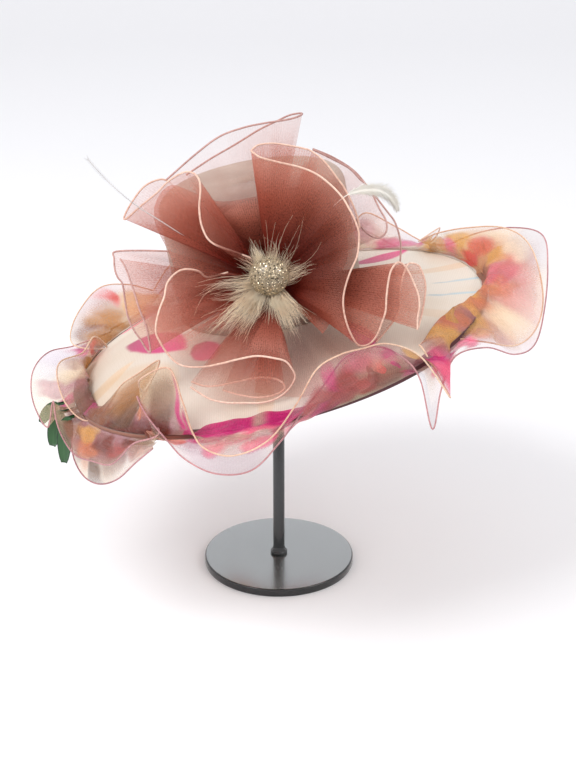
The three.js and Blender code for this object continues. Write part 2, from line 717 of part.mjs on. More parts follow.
// Where a folded sheet just touches itself, draws each side back so that no edge is shared twice
function drawnBack(mesh) {
  const verts = new Float32Array(mesh.vertProperties);
  const outward = new Float32Array(verts.length);
  const read = (n) => [verts[3 * n], verts[3 * n + 1], verts[3 * n + 2]];
  for (let n = 0; n < mesh.triVerts.length; n += 3) {
    const [a, b, c] = [mesh.triVerts[n], mesh.triVerts[n + 1], mesh.triVerts[n + 2]];
    const area = cross(sub(read(b), read(a)), sub(read(c), read(a)));
    for (const corner of [a, b, c]) {
      area.forEach((value, k) => {
        outward[3 * corner + k] += value;
      });
    }
  }
  const spots = new Map();
  for (let n = 0; n < verts.length / 3; n += 1) {
    const key = read(n).map((value) => value.toFixed(2)).join();
    spots.set(key, [...(spots.get(key) ?? []), n]);
  }
  for (const shared of [...spots.values()].filter((list) => list.length > 1)) {
    for (const n of shared) {
      const back = add(read(n), unit([...outward.slice(3 * n, 3 * n + 3)]), -0.03);
      verts.set(back, 3 * n);
    }
  }
  return verts;
}

function place(name, manifold, look) {
  const mesh = manifold.getMesh();
  const verts = drawnBack(mesh);
  const geometry = new THREE.BufferGeometry();
  geometry.setAttribute('position', new THREE.BufferAttribute(verts, 3));
  geometry.setIndex(new THREE.BufferAttribute(new Uint32Array(mesh.triVerts), 1));
  const flat = geometry.toNonIndexed();
  flat.computeVertexNormals();
  const part = new THREE.Mesh(flat, new THREE.MeshStandardMaterial(looks[look]));
  part.name = name;
  group.add(part);
}

// Takes the grown copies of what is already placed out of a solid and keeps its largest body
function fitted(name, manifold, grown) {
  let left = manifold.simplify(0.15);
  const box = manifold.boundingBox();
  for (const other of placed) {
    const far = other.box;
    const apart = [0, 1, 2].some((k) => far.max[k] < box.min[k] || far.min[k] > box.max[k]);
    for (let n = 0; n < 3 && !apart && left.intersect(other.grown).volume() > 0.001; n += 1) {
      left = left.subtract(other.grown);
    }
  }
  const kept = largest(largest(left).simplify(0.12));
  const taken = grown.add(kept);
  placed.push({ name, grown: taken, box: taken.boundingBox() });
  return kept;
}

place('stand_base', baseSolid, 'stand');
place('stand_post', postSolid, 'stand');
place('stand_head', restSolid, 'stand');
place('crown', crownSolid, 'crown');
place('brim', brimSolid, 'brim');
place('brim_binding', bindingSolid, 'binding');

const crownGrown = turned([
  [0, 0],
  [CROWN.radius + GAP, 0],
  ...crownProfile(CROWN.radius + GAP, CROWN.high + GAP, CROWN.round),
  [0, CROWN.high + GAP],
], 64).rotate([0, -HAT.lean, 0]).translate([0, 0, HAT.rim]);
placed.push({ name: 'crown', grown: crownGrown, box: crownGrown.boundingBox() });
const thickHalf = BRIM.thick / 2 + GAP;
const brimGrown = brimRing(BRIM.inner - 1, thickHalf);
placed.push({ name: 'brim', grown: brimGrown, box: brimGrown.boundingBox() });
const bindingGrown = bindingRing(GAP, false);
placed.push({ name: 'brim_binding', grown: bindingGrown, box: bindingGrown.boundingBox() });

function fitSheet(name, grid, thick, look) {
  place(name, fitted(name, sheet(grid, thick), sheet(grid, thick, GAP)), look);
}

place('flower_hub', hubSolid, 'flower');
const hubGrown = facing(turned([[0, -14], [11.3, -14], [11.3, hubFront + GAP], [0, hubFront + GAP]], 24));
placed.push({ name: 'flower_hub', grown: hubGrown, box: hubGrown.boundingBox() });

place('brooch', broochSolid, 'brooch');
const broochGrown = facing(turned([
  [0, broochBack - GAP],
  [19.3, broochBack - GAP],
  [19.3, broochBack + 4],
  [15, broochBack + 9.5],
  [0, broochBack + 13],
], 32)).translate([0, 0, 4]);
placed.push({ name: 'brooch', grown: broochGrown, box: broochGrown.boundingBox() });

const inOrder = Object.entries(petals).sort((a, b) => a[1].order - b[1].order);
for (const [name, petal] of inOrder) {
  const depth = 14 - petal.order;
  const grid = gridOf(petalSurface(petal, depth), petal.steps, 4, false);
  fitSheet(name, grid, FLOWER.thick, 'flower');
}

for (const [name, made] of Object.entries(strips)) {
  const grid = gridOf(stripSurface(made), made.rows.length - 1, 3, made.closed);
  fitSheet(name, grid, STRIP.thick, 'ruffle');
}

const tuftSolid = Manifold.union([tuftHead, ...locks.map(lockSolid)]);
place('feather_tufts', fitted('feather_tufts', tuftSolid, tuftSolid), 'tufts');
place('white_feather', fitted('white_feather', whiteSolid, whiteSolid), 'white');
place('quill_feather', fitted('quill_feather', quillSolid, quillSolid), 'white');
leaves.forEach((leaf, n) => {
  const made = leafSolid(leaf);
  place(`leaf_${n + 1}`, fitted(`leaf_${n + 1}`, made, made), 'leaf');
});

export default group;
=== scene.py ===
"""Sun hat on a display stand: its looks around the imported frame. Lengths in the tables are millimetres."""
import math

import bpy
import numpy as np
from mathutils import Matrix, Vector


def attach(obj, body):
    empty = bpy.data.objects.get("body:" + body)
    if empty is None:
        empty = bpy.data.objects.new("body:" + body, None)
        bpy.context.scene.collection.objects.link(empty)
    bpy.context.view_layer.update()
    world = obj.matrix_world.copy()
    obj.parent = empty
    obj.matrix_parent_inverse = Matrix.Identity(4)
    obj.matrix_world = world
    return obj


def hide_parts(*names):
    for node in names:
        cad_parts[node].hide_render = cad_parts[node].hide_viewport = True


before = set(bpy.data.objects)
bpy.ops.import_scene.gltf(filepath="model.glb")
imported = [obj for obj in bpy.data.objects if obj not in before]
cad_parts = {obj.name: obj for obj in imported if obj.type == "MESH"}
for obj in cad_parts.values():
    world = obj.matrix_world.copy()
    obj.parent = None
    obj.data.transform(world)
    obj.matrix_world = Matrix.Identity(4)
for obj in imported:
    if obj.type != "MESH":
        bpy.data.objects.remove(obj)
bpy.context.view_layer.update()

MM = 0.001
GAP = 0.3
BASE = {"radius": 84, "thick": 9, "round": 2}
POST = {"radius": 6.45, "collar": 9.5, "top": 430}
HAT = {"lean": math.radians(10), "rim": 275}
BRIM = {"inner": 97, "outer": 225, "drop": 40, "sweep": 20, "thick": 2}
CROWN = {"radius": 98, "high": 172, "round": 16, "wall": 2}
BINDING = {"over": 4, "out": 2, "wall": 1.2}
STRIP = {"root": 227.5, "apart": 2.4}
FLOWER = {"x": -8, "y": -100, "z": 369, "view": math.radians(23.2), "root": 11.6}
BROOCH = {"back": 44, "radius": 19, "high": 12.6, "raised": 4}
STONES = {"count": 400, "sides": 6, "size": 0.92, "tilt": 0.22, "turn": 2.39996}
HEM_CORD, PETAL_CORD = 0.8, 0.95
HEADING = {"rows": 5, "lap": 6.5, "raised": 3.4}
FINE = {"petal": 9, "out": 48, "strip": 14, "down": 44}

# Stretches of the brim's edge: the middle azimuth and the half width in degrees
ZONES = {
    "open heading": (246, 4), "front heading": (266, 15), "left heading": (224, 18),
    "bare binding": (246, 7), "rust binding": (222, 24), "deep binding": (312, 30),
}
# Where the strips' cloth lies denser, and by how much
DENSE = {"azimuth": 205, "half": 38, "cover": 0.2}


# Frames of reference
def from_hat(x, y, z):
    c, s = math.cos(HAT["lean"]), math.sin(HAT["lean"])
    return np.stack([x * c - z * s, y + 0 * x, HAT["rim"] + x * s + z * c], axis=-1)


def to_hat(points):
    c, s = math.cos(HAT["lean"]), math.sin(HAT["lean"])
    x, y, up = points[..., 0], points[..., 1], points[..., 2] - HAT["rim"]
    return x * c + up * s, y, up * c - x * s


# The way that the flower faces
FRONT = np.array([0, -math.cos(FLOWER["view"]), math.sin(FLOWER["view"])])


def from_flower(right, up, toward):
    c, s = math.cos(FLOWER["view"]), math.sin(FLOWER["view"])
    return np.stack([
        FLOWER["x"] + right,
        FLOWER["y"] + s * up - c * toward,
        FLOWER["z"] + c * up + s * toward,
    ], axis=-1)


def brim_height(radius, azimuth):
    out = (radius - BRIM["inner"]) / (BRIM["outer"] - BRIM["inner"])
    return BRIM["drop"] * (1 - out) + BRIM["sweep"] * np.cos(azimuth) * out * out


def clearance(points):
    """How far points are outside the crown and above the brim."""
    x, y, z = to_hat(points)
    radius = np.hypot(x, y)
    qr = radius - (CROWN["radius"] - CROWN["round"])
    qz = np.abs(z - CROWN["high"] / 2) - (CROWN["high"] / 2 - CROWN["round"])
    outside = np.hypot(np.maximum(qr, 0), np.maximum(qz, 0))
    crown = outside + np.minimum(np.maximum(qr, qz), 0) - CROWN["round"]
    above = z - brim_height(np.maximum(radius, BRIM["inner"]), np.arctan2(y, x))
    return np.where(radius > BRIM["outer"] + 6, crown, np.minimum(crown, above))


def lift(points, margin):
    """Moves points toward the flower's front until they are clear of the crown and the brim."""
    for _ in range(80):
        points = points + FRONT * np.maximum(margin - clearance(points), 0)[..., None]
    return points


def spline(rows, places):
    """A smooth curve through rows of numbers, read at places from 0 to 1."""
    rows = np.asarray(rows, float)
    last = len(rows) - 1
    at = np.clip(places, 0, 1) * last
    n = np.minimum(at.astype(int), last - 1)
    t = (at - n)[..., None]
    a, b, c, d = rows[np.maximum(n - 1, 0)], rows[n], rows[n + 1], rows[np.minimum(n + 2, last)]
    slope, after, rise = (c - a) / 2, (d - b) / 2, c - b
    cubic = slope + after - 2 * rise
    square = 3 * rise - 2 * slope - after
    return b + t * (slope + t * (square + t * cubic))


def smooth(low, high, value):
    t = np.clip((value - low) / (high - low), 0, 1)
    return t * t * (3 - 2 * t)


def zone(name, azimuth, power=4):
    """1 in the middle of a stretch of the brim's edge, falling to 0 outside it."""
    middle, half = ZONES[name]
    away = (azimuth - middle + 180) % 360 - 180
    return np.exp(-(away / half) ** power)


def ripple(u, v, seed, octaves=3):
    """Smooth made-up unevenness from -1 to 1, the same each run."""
    rng = np.random.default_rng(seed)
    total, weight = 0.0, 0.0
    for k in range(octaves):
        for _ in range(4):
            turn = rng.uniform(0, 2 * math.pi)
            size = rng.uniform(0.7, 1.3) * 2 ** k
            shift = rng.uniform(0, 2 * math.pi)
            wave = np.sin(size * (np.cos(turn) * u + np.sin(turn) * v) + shift)
            total = total + wave * 0.6 ** k
            weight += 0.5 * 0.6 ** k
    return np.clip(total / weight, -1, 1)


def linear(red, green, blue):
    """Screen colour from 0 to 255 to the renderer's own light scale."""
    values = np.array([red, green, blue]) / 255
    return np.where(values <= 0.04045, values / 12.92, ((values + 0.055) / 1.055) ** 2.4)


def unit(vectors):
    """The same directions with a length of 1."""
    return vectors / np.maximum(np.linalg.norm(vectors, axis=-1, keepdims=True), 1e-9)


# Meshes
def listed(faces):
    return faces.tolist() if isinstance(faces, np.ndarray) else faces


def mesh_from(name, verts, faces, uvs=None, dye=None):
    """A mesh from millimetre points and faces, with a UV and a dye for each point."""
    mesh = bpy.data.meshes.new(name)
    mesh.from_pydata((np.asarray(verts).reshape(-1, 3) * MM).tolist(), [], listed(faces))
    corner = np.empty(len(mesh.loops), np.int32)
    mesh.loops.foreach_get("vertex_index", corner)
    if uvs is not None:
        layer = mesh.uv_layers.new(name="cut")
        layer.data.foreach_set("uv", np.asarray(uvs, np.float32).reshape(-1, 2)[corner].ravel())
    if dye is not None:
        colours = mesh.color_attributes.new("dye", "FLOAT_COLOR", "POINT")
        colours.data.foreach_set("color", np.asarray(dye, np.float32).ravel())
    mesh.update()
    return mesh


def link(mesh, *materials, smooth_shaded=True):
    """An object of the mesh's own name in the scene."""
    piece = bpy.data.objects.new(mesh.name, mesh)
    bpy.context.scene.collection.objects.link(piece)
    for material in materials:
        mesh.materials.append(material)
    if smooth_shaded:
        mesh.polygons.foreach_set("use_smooth", [True] * len(mesh.polygons))
    return piece


def finish_piece(piece, slot, *nodes):
    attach(piece, "root")
    if nodes:
        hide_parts(*nodes)
    return piece


def grid_faces(rows, columns, wrap_rows=False, wrap_columns=False):
    i, j = np.meshgrid(
        np.arange(rows if wrap_rows else rows - 1),
        np.arange(columns if wrap_columns else columns - 1), indexing="ij",
    )
    i2, j2 = (i + 1) % rows, (j + 1) % columns
    quads = np.stack([i * columns + j, i2 * columns + j, i2 * columns + j2, i * columns + j2], -1)
    return quads.reshape(-1, 4)


def capped_faces(rings, sides):
    """Faces of a small prism of stacked rings with its last ring closed."""
    walls = np.roll(grid_faces(rings, sides, wrap_columns=True)[:, ::-1], 1, 1)
    return walls.tolist() + [list(range((rings - 1) * sides, rings * sides))]


def tube(path, radius, sides=8, closed=False):
    """Points and faces of a round cord along a path."""
    count = len(path)
    ahead = np.roll(path, -1, 0) - np.roll(path, 1, 0)
    if not closed:
        ahead[0], ahead[-1] = path[1] - path[0], path[-1] - path[-2]
    ahead = unit(ahead)
    side = np.empty_like(path)
    side[0] = unit(np.cross(ahead[0], [0.31, 0.2, 0.93]))
    for n in range(1, count):
        side[n] = unit(side[n - 1] - ahead[n] * np.dot(side[n - 1], ahead[n]))
    up = np.cross(ahead, side)
    drift = math.atan2(np.dot(side[-1], up[0]), np.dot(side[-1], side[0])) if closed else 0.0
    turn = (2 * math.pi * np.arange(sides) / sides)[None, :] - (np.arange(count)[:, None] / count) * drift
    radius = np.broadcast_to(np.asarray(radius, float), (count,))[:, None, None]
    rings = path[:, None] + radius * (
        np.cos(turn)[..., None] * side[:, None] + np.sin(turn)[..., None] * up[:, None]
    )
    return rings.reshape(-1, 3), grid_faces(count, sides, wrap_rows=closed, wrap_columns=True)


def joined(parts):
    """Several (points, faces) as one."""
    verts, faces, start = [], [], 0
    for points, rows in parts:
        verts.append(points)
        faces += [[corner + start for corner in face] for face in listed(rows)]
        start += len(points)
    return np.concatenate(verts), faces


def lathe(profile, sides):
    """Points and faces of a profile of [radius, height] turned about the Z axis."""
    profile = np.asarray(profile, float)
    turn = 2 * math.pi * np.arange(sides) / sides
    radius, height = profile[:, :1], profile[:, 1:]
    verts = np.stack([radius * np.cos(turn), radius * np.sin(turn), height + 0 * turn], -1)
    return verts.reshape(-1, 3), grid_faces(len(profile), sides, wrap_columns=True)[:, ::-1]


def arc(radius, centre, start, end, steps):
    turn = np.radians(np.linspace(start, end, steps + 1))
    return np.stack([centre[0] + radius * np.cos(turn), centre[1] + radius * np.sin(turn)], -1).tolist()


# Materials
class Paint:
    """A material in the making. Its nodes are linked as they are added."""

    def __init__(self, name):
        self.material = bpy.data.materials.new(name)
        self.material.use_nodes = True
        self.tree = self.material.node_tree
        self.tree.nodes.clear()
        self.out = self.tree.nodes.new("ShaderNodeOutputMaterial")

    def node(self, kind, values=None, **inputs):
        """A node with settings from values, and inputs by number as i0 or by name as Base_Color."""
        made = self.tree.nodes.new("ShaderNode" + kind)
        for key, value in (values or {}).items():
            setattr(made, key, value)
        for key, value in inputs.items():
            numbered = key[0] == "i" and key[1:].isdigit()
            socket = made.inputs[int(key[1:]) if numbered else key.replace("_", " ")]
            if isinstance(value, bpy.types.NodeSocket):
                self.tree.links.new(value, socket)
            else:
                socket.default_value = value
        return made

    def maths(self, operation, first, second=0.0):
        return self.node("Math", {"operation": operation}, i0=first, i1=second).outputs[0]

    def plus(self, first, second):
        return self.maths("ADD", first, second)

    def times(self, first, second):
        return self.maths("MULTIPLY", first, second)

    def place(self):
        return self.node("TexCoord").outputs

    def cut(self):
        return self.node("UVMap", {"uv_map": "cut"}).outputs[0]

    def dye(self):
        return self.node("Attribute", {"attribute_name": "dye"}).outputs

    def noise(self, place, scale, detail=2.0, **more):
        return self.node("TexNoise", Vector=place, Scale=scale, Detail=detail, **more).outputs["Fac"]

    def wave(self, place, way, scale, **more):
        made = self.node("TexWave", {"bands_direction": way}, Vector=place, Scale=scale, **more)
        return made.outputs["Fac"]

    def ramp(self, share, low, dark, high, light):
        made = self.node("ValToRGB", Fac=share)
        for stop, position, colour in zip(made.color_ramp.elements, (low, high), (dark, light)):
            stop.position = position
            stop.color = (*colour, 1)
        return made.outputs[0]

    def mixed(self, share, first, second, blend="MIX"):
        values = {"data_type": "RGBA", "blend_type": blend}
        return self.node("Mix", values, i0=share, i6=first, i7=second).outputs[2]

    def bump(self, height, strength, distance, **more):
        return self.node("Bump", Height=height, Strength=strength, Distance=distance, **more).outputs[0]

    def body(self, **inputs):
        return self.node("BsdfPrincipled", **inputs).outputs[0]

    def blend(self, share, first, second):
        return self.node("MixShader", i0=share, i1=first, i2=second).outputs[0]

    def finished(self, surface):
        self.tree.links.new(surface, self.out.inputs[0])
        return self.material


def cloth_material(name, weave, thread, fine, speck, glow, gloss, rough=0.5, crease=0.0):
    """Sheer woven cloth. Its dye and how much of the light it stops come from the mesh."""
    paint = Paint(name)
    place, outputs = paint.cut(), paint.dye()
    dye, alpha = outputs["Color"], outputs["Alpha"]
    across = paint.wave(place, "X", weave, Distortion=1.6, Detail=2.0, Detail_Scale=2.0)
    grain = paint.noise(place, thread, 1.0, Roughness=0.5)
    cloudy = paint.noise(place, thread / 18, 4.0, Roughness=0.55)
    woven = paint.plus(paint.times(across, fine), paint.times(grain, speck))
    uneven = paint.plus(woven, paint.times(cloudy, 0.5))
    shade = paint.plus(uneven, 1.0 - 0.5 * (fine + speck + 0.5))
    cover = paint.maths("MINIMUM", paint.times(alpha, shade), 0.985)
    bump = paint.bump(uneven, 0.2, 0.0006)
    if crease:
        drawn = paint.node("Mapping", Vector=place, Scale=(16, 60, 1)).outputs[0]
        folds = paint.noise(drawn, 1.0, 3.0, Roughness=0.5, Distortion=0.8)
        bump = paint.bump(folds, 1.0, crease, Normal=bump)
    front = paint.body(Normal=bump, Roughness=rough, Base_Color=dye, Specular_IOR_Level=gloss,
                       Sheen_Weight=0.06)
    through = paint.node("BsdfTranslucent", Color=dye).outputs[0]
    tint = paint.mixed(paint.times(alpha, 0.5), (1, 1, 1, 1), dye)
    clear = paint.node("BsdfTransparent", Color=tint).outputs[0]
    return paint.finished(paint.blend(cover, clear, paint.blend(glow, front, through)))


def cord_material(name, light, dark):
    """A rolled hem wound with thread."""
    paint = Paint(name)
    place = paint.place()["Object"]
    grain = paint.noise(place, 420.0)
    mixed = paint.plus(paint.times(grain, 0.5), paint.times(paint.noise(place, 14.0, 1.0), 0.6))
    tone = paint.ramp(mixed, 0.35, dark, 0.75, light)
    bump = paint.bump(grain, 0.4, 0.0004)
    return paint.finished(paint.body(Normal=bump, Roughness=0.6, Base_Color=tone, Sheen_Weight=0.3))


def gloss_material(name, colour, rough, metal=0.0):
    paint = Paint(name)
    place = paint.place()["Object"]
    cloudy, dust = paint.noise(place, 18.0, 5.0), paint.noise(place, 900.0, 1.0)
    specks = paint.times(paint.maths("GREATER_THAN", dust, 0.68), 0.25)
    uneven = paint.plus(paint.plus(paint.times(cloudy, 0.10), rough - 0.05), specks)
    return paint.finished(paint.body(
        Roughness=uneven, Base_Color=(*colour, 1), Metallic=metal, Coat_Weight=0.5, Coat_Roughness=0.08))


def satin_material(name, rib, gloss, tones=None):
    """Woven satin in two tones, or with a dye from the mesh."""
    paint = Paint(name)
    place = paint.place()
    warp = paint.wave(place["UV"], "X", rib, Distortion=0.8, Detail=1.0)
    weft = paint.wave(place["UV"], "Y", rib * 1.2, Distortion=0.8, Detail=1.0)
    cloudy = paint.noise(place["Object"], 16.0, 4.0)
    relief = paint.plus(paint.times(paint.plus(warp, weft), 0.2), paint.times(cloudy, 1.2))
    bump = paint.bump(relief, 0.35, 0.0015)
    tone = paint.ramp(cloudy, 0.35, tones[0], 0.7, tones[1]) if tones else paint.dye()["Color"]
    ribbed = paint.mixed(paint.times(warp, 0.18), tone, (0.72, 0.68, 0.62, 1), "MULTIPLY")
    return paint.finished(paint.body(
        Normal=bump, Base_Color=ribbed, Roughness=0.5, Specular_IOR_Level=gloss, Sheen_Weight=0.1))


def down_material(name, light, dark, glow):
    paint = Paint(name)
    tone = paint.ramp(paint.noise(paint.place()["Object"], 60.0, 3.0), 0.3, dark, 0.7, light)
    front = paint.body(Roughness=0.7, Base_Color=tone, Sheen_Weight=0.5)
    through = paint.node("BsdfTranslucent", Color=tone).outputs[0]
    return paint.finished(paint.blend(glow, front, through))


def leaf_material():
    paint = Paint("green leaf")
    cut = paint.cut()
    across = paint.node("SeparateXYZ", i0=cut).outputs[1]
    edge = paint.maths("ABSOLUTE", paint.maths("SUBTRACT", across, 0.5))
    veins = paint.noise(cut, 5.0)
    green = paint.ramp(veins, 0, linear(28, 66, 34), 1, linear(64, 108, 62))
    tone = paint.mixed(paint.maths("GREATER_THAN", edge, 0.46), green, (*linear(22, 46, 28), 1))
    bump = paint.bump(veins, 0.3, 0.0008)
    return paint.finished(paint.body(Normal=bump, Roughness=0.32, Base_Color=tone))


def crystal_material():
    paint = Paint("champagne crystal")
    scuff = paint.times(paint.noise(paint.place()["Object"], 300.0), 0.16)
    return paint.finished(paint.body(Metallic=0.85, Base_Color=paint.dye()["Color"], Roughness=scuff))


# Strips of printed organza round the brim's edge. Each row of a hem is the azimuth at the root and at
# the hem, the hem's reach outward and rise above the rim, and how far outward and upward the strip
# bends before it gets there.
UPPER_HEM = [
    [126, 126, 34, 12, 16, 4], [133, 134, 30, 36, 16, 6], [139, 141, 42, 44, 16, 8],
    [145, 148, 52, 26, 16, 6], [151, 153, 50, 8, 16, 2], [157, 158, 24, 6, 8, 4],
    [163, 160, -16, 8, -4, 8], [169, 167, -18, 34, -14, 24], [175, 176, -12, 30, -30, 30],
    [182, 183, 8, 34, -40, 34], [189, 191, 12, 26, -44, 34], [196, 198, 10, 8, -40, 30],
    [202, 207, 0, -2, -30, 24], [208, 213, -18, 14, -10, 14], [213, 215, -34, 32, -6, 10],
    [218, 221, -46, 44, -6, 8], [224, 231, -52, 58, -10, 8], [230, 231, -24, 38, -4, 6],
    [236, 236, -4, 60, 4, 10], [241, 245, -6, 70, 6, 12], [246, 249, 8, 40, 12, 8],
    [251, 251, 18, 14, 18, 2], [257, 254, 26, -2, 20, 0], [264, 260, 28, -12, 20, 0],
    [271, 268, 26, -4, 20, 0], [279, 275, 22, 22, 18, 4], [286, 281, 12, 46, 12, 8],
    [293, 287, 6, 50, 8, 10], [300, 293, 0, 45, 4, 10], [307, 301, -4, 36, 4, 8], [313, 308, 6, 12, 12, 4],
    [318, 312, 20, -36, 16, -4], [322, 312, -6, 8, 4, 6], [325, 314, -18, 10, -16, 16],
    [330, 321, -14, 6, -34, 30], [336, 329, 14, -12, -40, 36], [342, 338, 34, -34, -34, 36],
    [349, 348, 48, -34, -20, 34], [357, 357, 56, -14, -6, 34], [365, 365, 54, 22, 4, 24],
    [373, 375, 42, 33, 6, 20], [381, 385, 16, 31, 0, 20], [389, 391, -8, 28, -6, 16],
    [396, 398, -16, 18, 2, 8],
]
LOWER_HEM = [
    [126, 127, 38, -4, 16, -4], [134, 135, 34, -8, 16, -4], [142, 142, 30, -4, 16, -4],
    [150, 148, 12, 4, 14, -2], [157, 156, 36, 4, 16, 0], [164, 163, 50, 12, 18, 0],
    [171, 172, 52, 12, 20, 0], [178, 181, 48, 4, 20, 0], [184, 189, 42, -6, 18, -2],
    [189, 197, 34, -12, 16, -4], [193, 192, 22, 6, 14, -4], [198, 197, 24, -6, 14, -6],
    [204, 204, 26, -16, 14, -8], [211, 211, 26, -26, 14, -10], [218, 218, 22, -27, 12, -12],
    [224, 225, 18, -26, 12, -10], [229, 232, 10, -4, 10, -8], [233, 240, 4, 8, 8, -6],
    [236, 232, -10, 38, 0, 4], [240, 237.5, 4, 24, 8, 0], [245, 243, 12, 4, 14, -4],
    [250, 248, 20, -14, 16, -8], [257, 255, 24, -30, 16, -10], [264, 263, 24, -32, 16, -10],
    [271, 270, 20, -12, 16, -6], [278, 276, 16, 10, 14, 0], [285, 283, 8, 30, 10, 6],
    [291, 289, 2, 44, 6, 10], [297, 298, -4, 38, 4, 10], [303, 304, 2, 16, 6, 6],
    [308, 306, 10, -8, 10, -2], [312, 305.5, 20, -56, 12, -10], [316, 311, 14, -26, 10, -6],
    [321, 319, 8, -8, 8, -4], [328, 328, 20, -16, 14, -6], [336, 336, 34, -40, 16, -8],
    [344, 344, 46, -46, 18, -10], [352, 353, 56, -24, 20, -8], [360, 361, 66, 4, 22, -4],
    [368, 370, 74, 24, 22, -2], [376, 379, 58, 25, 18, 0], [384, 387, 34, 18, 14, 0],
    [392, 394, 16, 6, 14, -2], [400, 401, 20, 0, 14, -2],
]
UNDER_HEM = [
    [201, 201, 14, -24, 8, -8], [204, 204, 20, -36, 12, -14], [208, 208, 22, -48, 12, -16],
    [214, 213, 22, -54, 12, -18], [220, 219, 20, -53, 12, -18], [226, 225, 15, -44, 10, -14],
    [232, 231, 9, -26, 8, -10], [238, 237, 5, -10, 6, -6],
]

# Petals of the flower. Each row of a hem is a point's right, up and toward from the flower's middle.
PETALS = {
    "petal_lower_left": {"clear": 12, "bulge": 10, "spiral": -8, "order": 1, "hem": [
        [-40, 8, 36], [-59, 3, 42], [-67, 8, 46], [-76, 10, 48], [-85, 9, 50], [-93, 3, 52],
        [-98, -5, 54], [-100, -17, 58], [-104, -28, 60], [-107, -41, 64], [-107, -52, 68],
        [-102, -62, 72], [-96, -71, 76], [-87, -80, 80], [-76, -84, 84], [-60, -84, 86],
        [-44, -81, 88], [-28, -77, 88], [-11, -74, 88], [5, -76, 88], [16, -79, 86], [22, -86, 84],
        [25, -93, 82], [22, -101, 80], [15, -109, 79], [5, -115, 78], [-8, -118, 78], [-22, -118, 78],
        [-38, -118, 77], [-54, -115, 76], [-65, -109, 75], [-74, -103, 74],
    ]},
    "petal_right": {"clear": 12, "bulge": 8, "spiral": -11, "order": 2, "hem": [
        [-18, 127, 30], [-9, 120, 34], [7, 115, 38], [30, 109, 42], [46, 102, 44], [60, 91, 46],
        [70, 80, 48], [76, 70, 50], [82, 58, 52], [86, 46, 54], [86, 34, 56], [84, 21, 58],
        [77, 5, 58], [72, -12, 58], [71, -25, 60], [73, -38, 62], [77, -50, 64], [83, -61, 64],
        [88, -64, 63], [96, -62, 61], [103, -54, 58], [108, -42, 54], [112, -30, 51], [113, -16, 48],
        [115, -1, 46], [118, 10, 44], [124, 17, 42], [130, 15, 42], [135, 8, 42], [140, -3, 43],
        [144, -14, 44], [145, -25, 45], [143, -38, 46], [143, -48, 47],
    ]},
    "petal_left": {"clear": 10, "bulge": 10, "spiral": -8, "order": 3, "hem": [
        [-18, 22, 34], [-32, 27, 40], [-55, 36, 46], [-64, 50, 49], [-67, 68, 49], [-66, 87, 47],
        [-68, 98, 45], [-75, 104, 43], [-84, 104, 39], [-97, 97, 35], [-110, 85, 31], [-126, 73, 25],
        [-140, 62, 18], [-143, 65, 10], [-136, 80, 4], [-124, 96, 0], [-109, 103, -2], [-99, 101, -4],
    ]},
    "petal_top": {"clear": 6, "bulge": 4, "spiral": -8, "order": 5, "hem": [
        [-101, 100, 18], [-72, 125, 20], [-49, 142, 20], [-26, 151, 18], [-6, 156, 14], [19, 161, 8],
        [31, 166, 2], [31, 169, -4], [20, 168, -9], [6, 162, -12], [-11, 154, -14], [-34, 140, -15],
        [-60, 125, -16], [-84, 109, -16],
    ]},
    "petal_right_back": {"clear": 8, "bulge": 6, "spiral": 0, "order": 4, "hem": [
        [-18, 128, 20], [-11, 134, 18], [4, 136, 16], [19, 134, 16], [34, 131, 16], [42, 128, 16],
        [54, 118, 17], [64, 105, 19], [73, 92, 22], [80, 78, 26], [85, 65, 30], [88, 51, 34],
    ]},
    "petal_loop_right": {"clear": 4, "bulge": 4, "spiral": 7, "order": 6, "hem": [
        [43, 133, -4], [60, 125, -6], [79, 115, -8], [90, 104, -8], [99, 95, -6], [109, 74, -2],
        [115, 63, 0], [116, 53, 4], [112, 46, 8], [104, 44, 11], [94, 50, 13], [85, 62, 14],
    ]},
    "petal_back_right": {"clear": 3, "bulge": 2, "spiral": 0, "order": 7, "hem": [
        [43, 136, -20], [63, 128, -22], [84, 115, -24], [99, 98, -24], [118, 73, -20], [125, 63, -17],
        [129, 51, -14], [131, 38, -11], [130, 19, -8],
    ]},
    "petal_lower_right": {"clear": 4, "bulge": 4, "spiral": -6, "order": 8, "hem": [
        [104, -60, 34], [114, -48, 31], [123, -36, 28], [127, -25, 26], [127, -12, 25], [129, -1, 24],
        [132, 9, 22], [136, 17, 20], [141, 18, 19], [147, 15, 19], [151, 6, 20], [153, -4, 21],
        [152, -16, 23], [149, -32, 26], [145, -46, 30],
    ]},
    "petal_lower_inner": {"clear": 4, "bulge": 6, "spiral": -6, "order": 9, "hem": [
        [-74, -98, 60], [-62, -102, 62], [-50, -102, 64], [-30, -98, 66], [-11, -94, 67], [5, -95, 68],
        [14, -100, 68], [14, -106, 66], [4, -111, 64], [-12, -113, 63], [-30, -110, 62],
        [-44, -106, 61],
    ]},
    "petal_far_left": {"clear": 3, "bulge": 4, "spiral": 6, "order": 10, "hem": [
        [-98, 31, 4], [-126, 32, 2], [-153, 31, 0], [-154, 24, 2], [-153, 13, 4], [-150, 5, 6],
        [-145, -2, 8], [-142, -19, 12], [-139, -34, 16], [-133, -47, 20], [-125, -58, 26],
        [-119, -67, 32], [-115, -69, 36], [-117, -58, 30], [-120, -44, 26], [-127, -27, 22],
        [-133, -9, 18], [-141, 13, 14], [-147, 23, 12],
    ]},
}

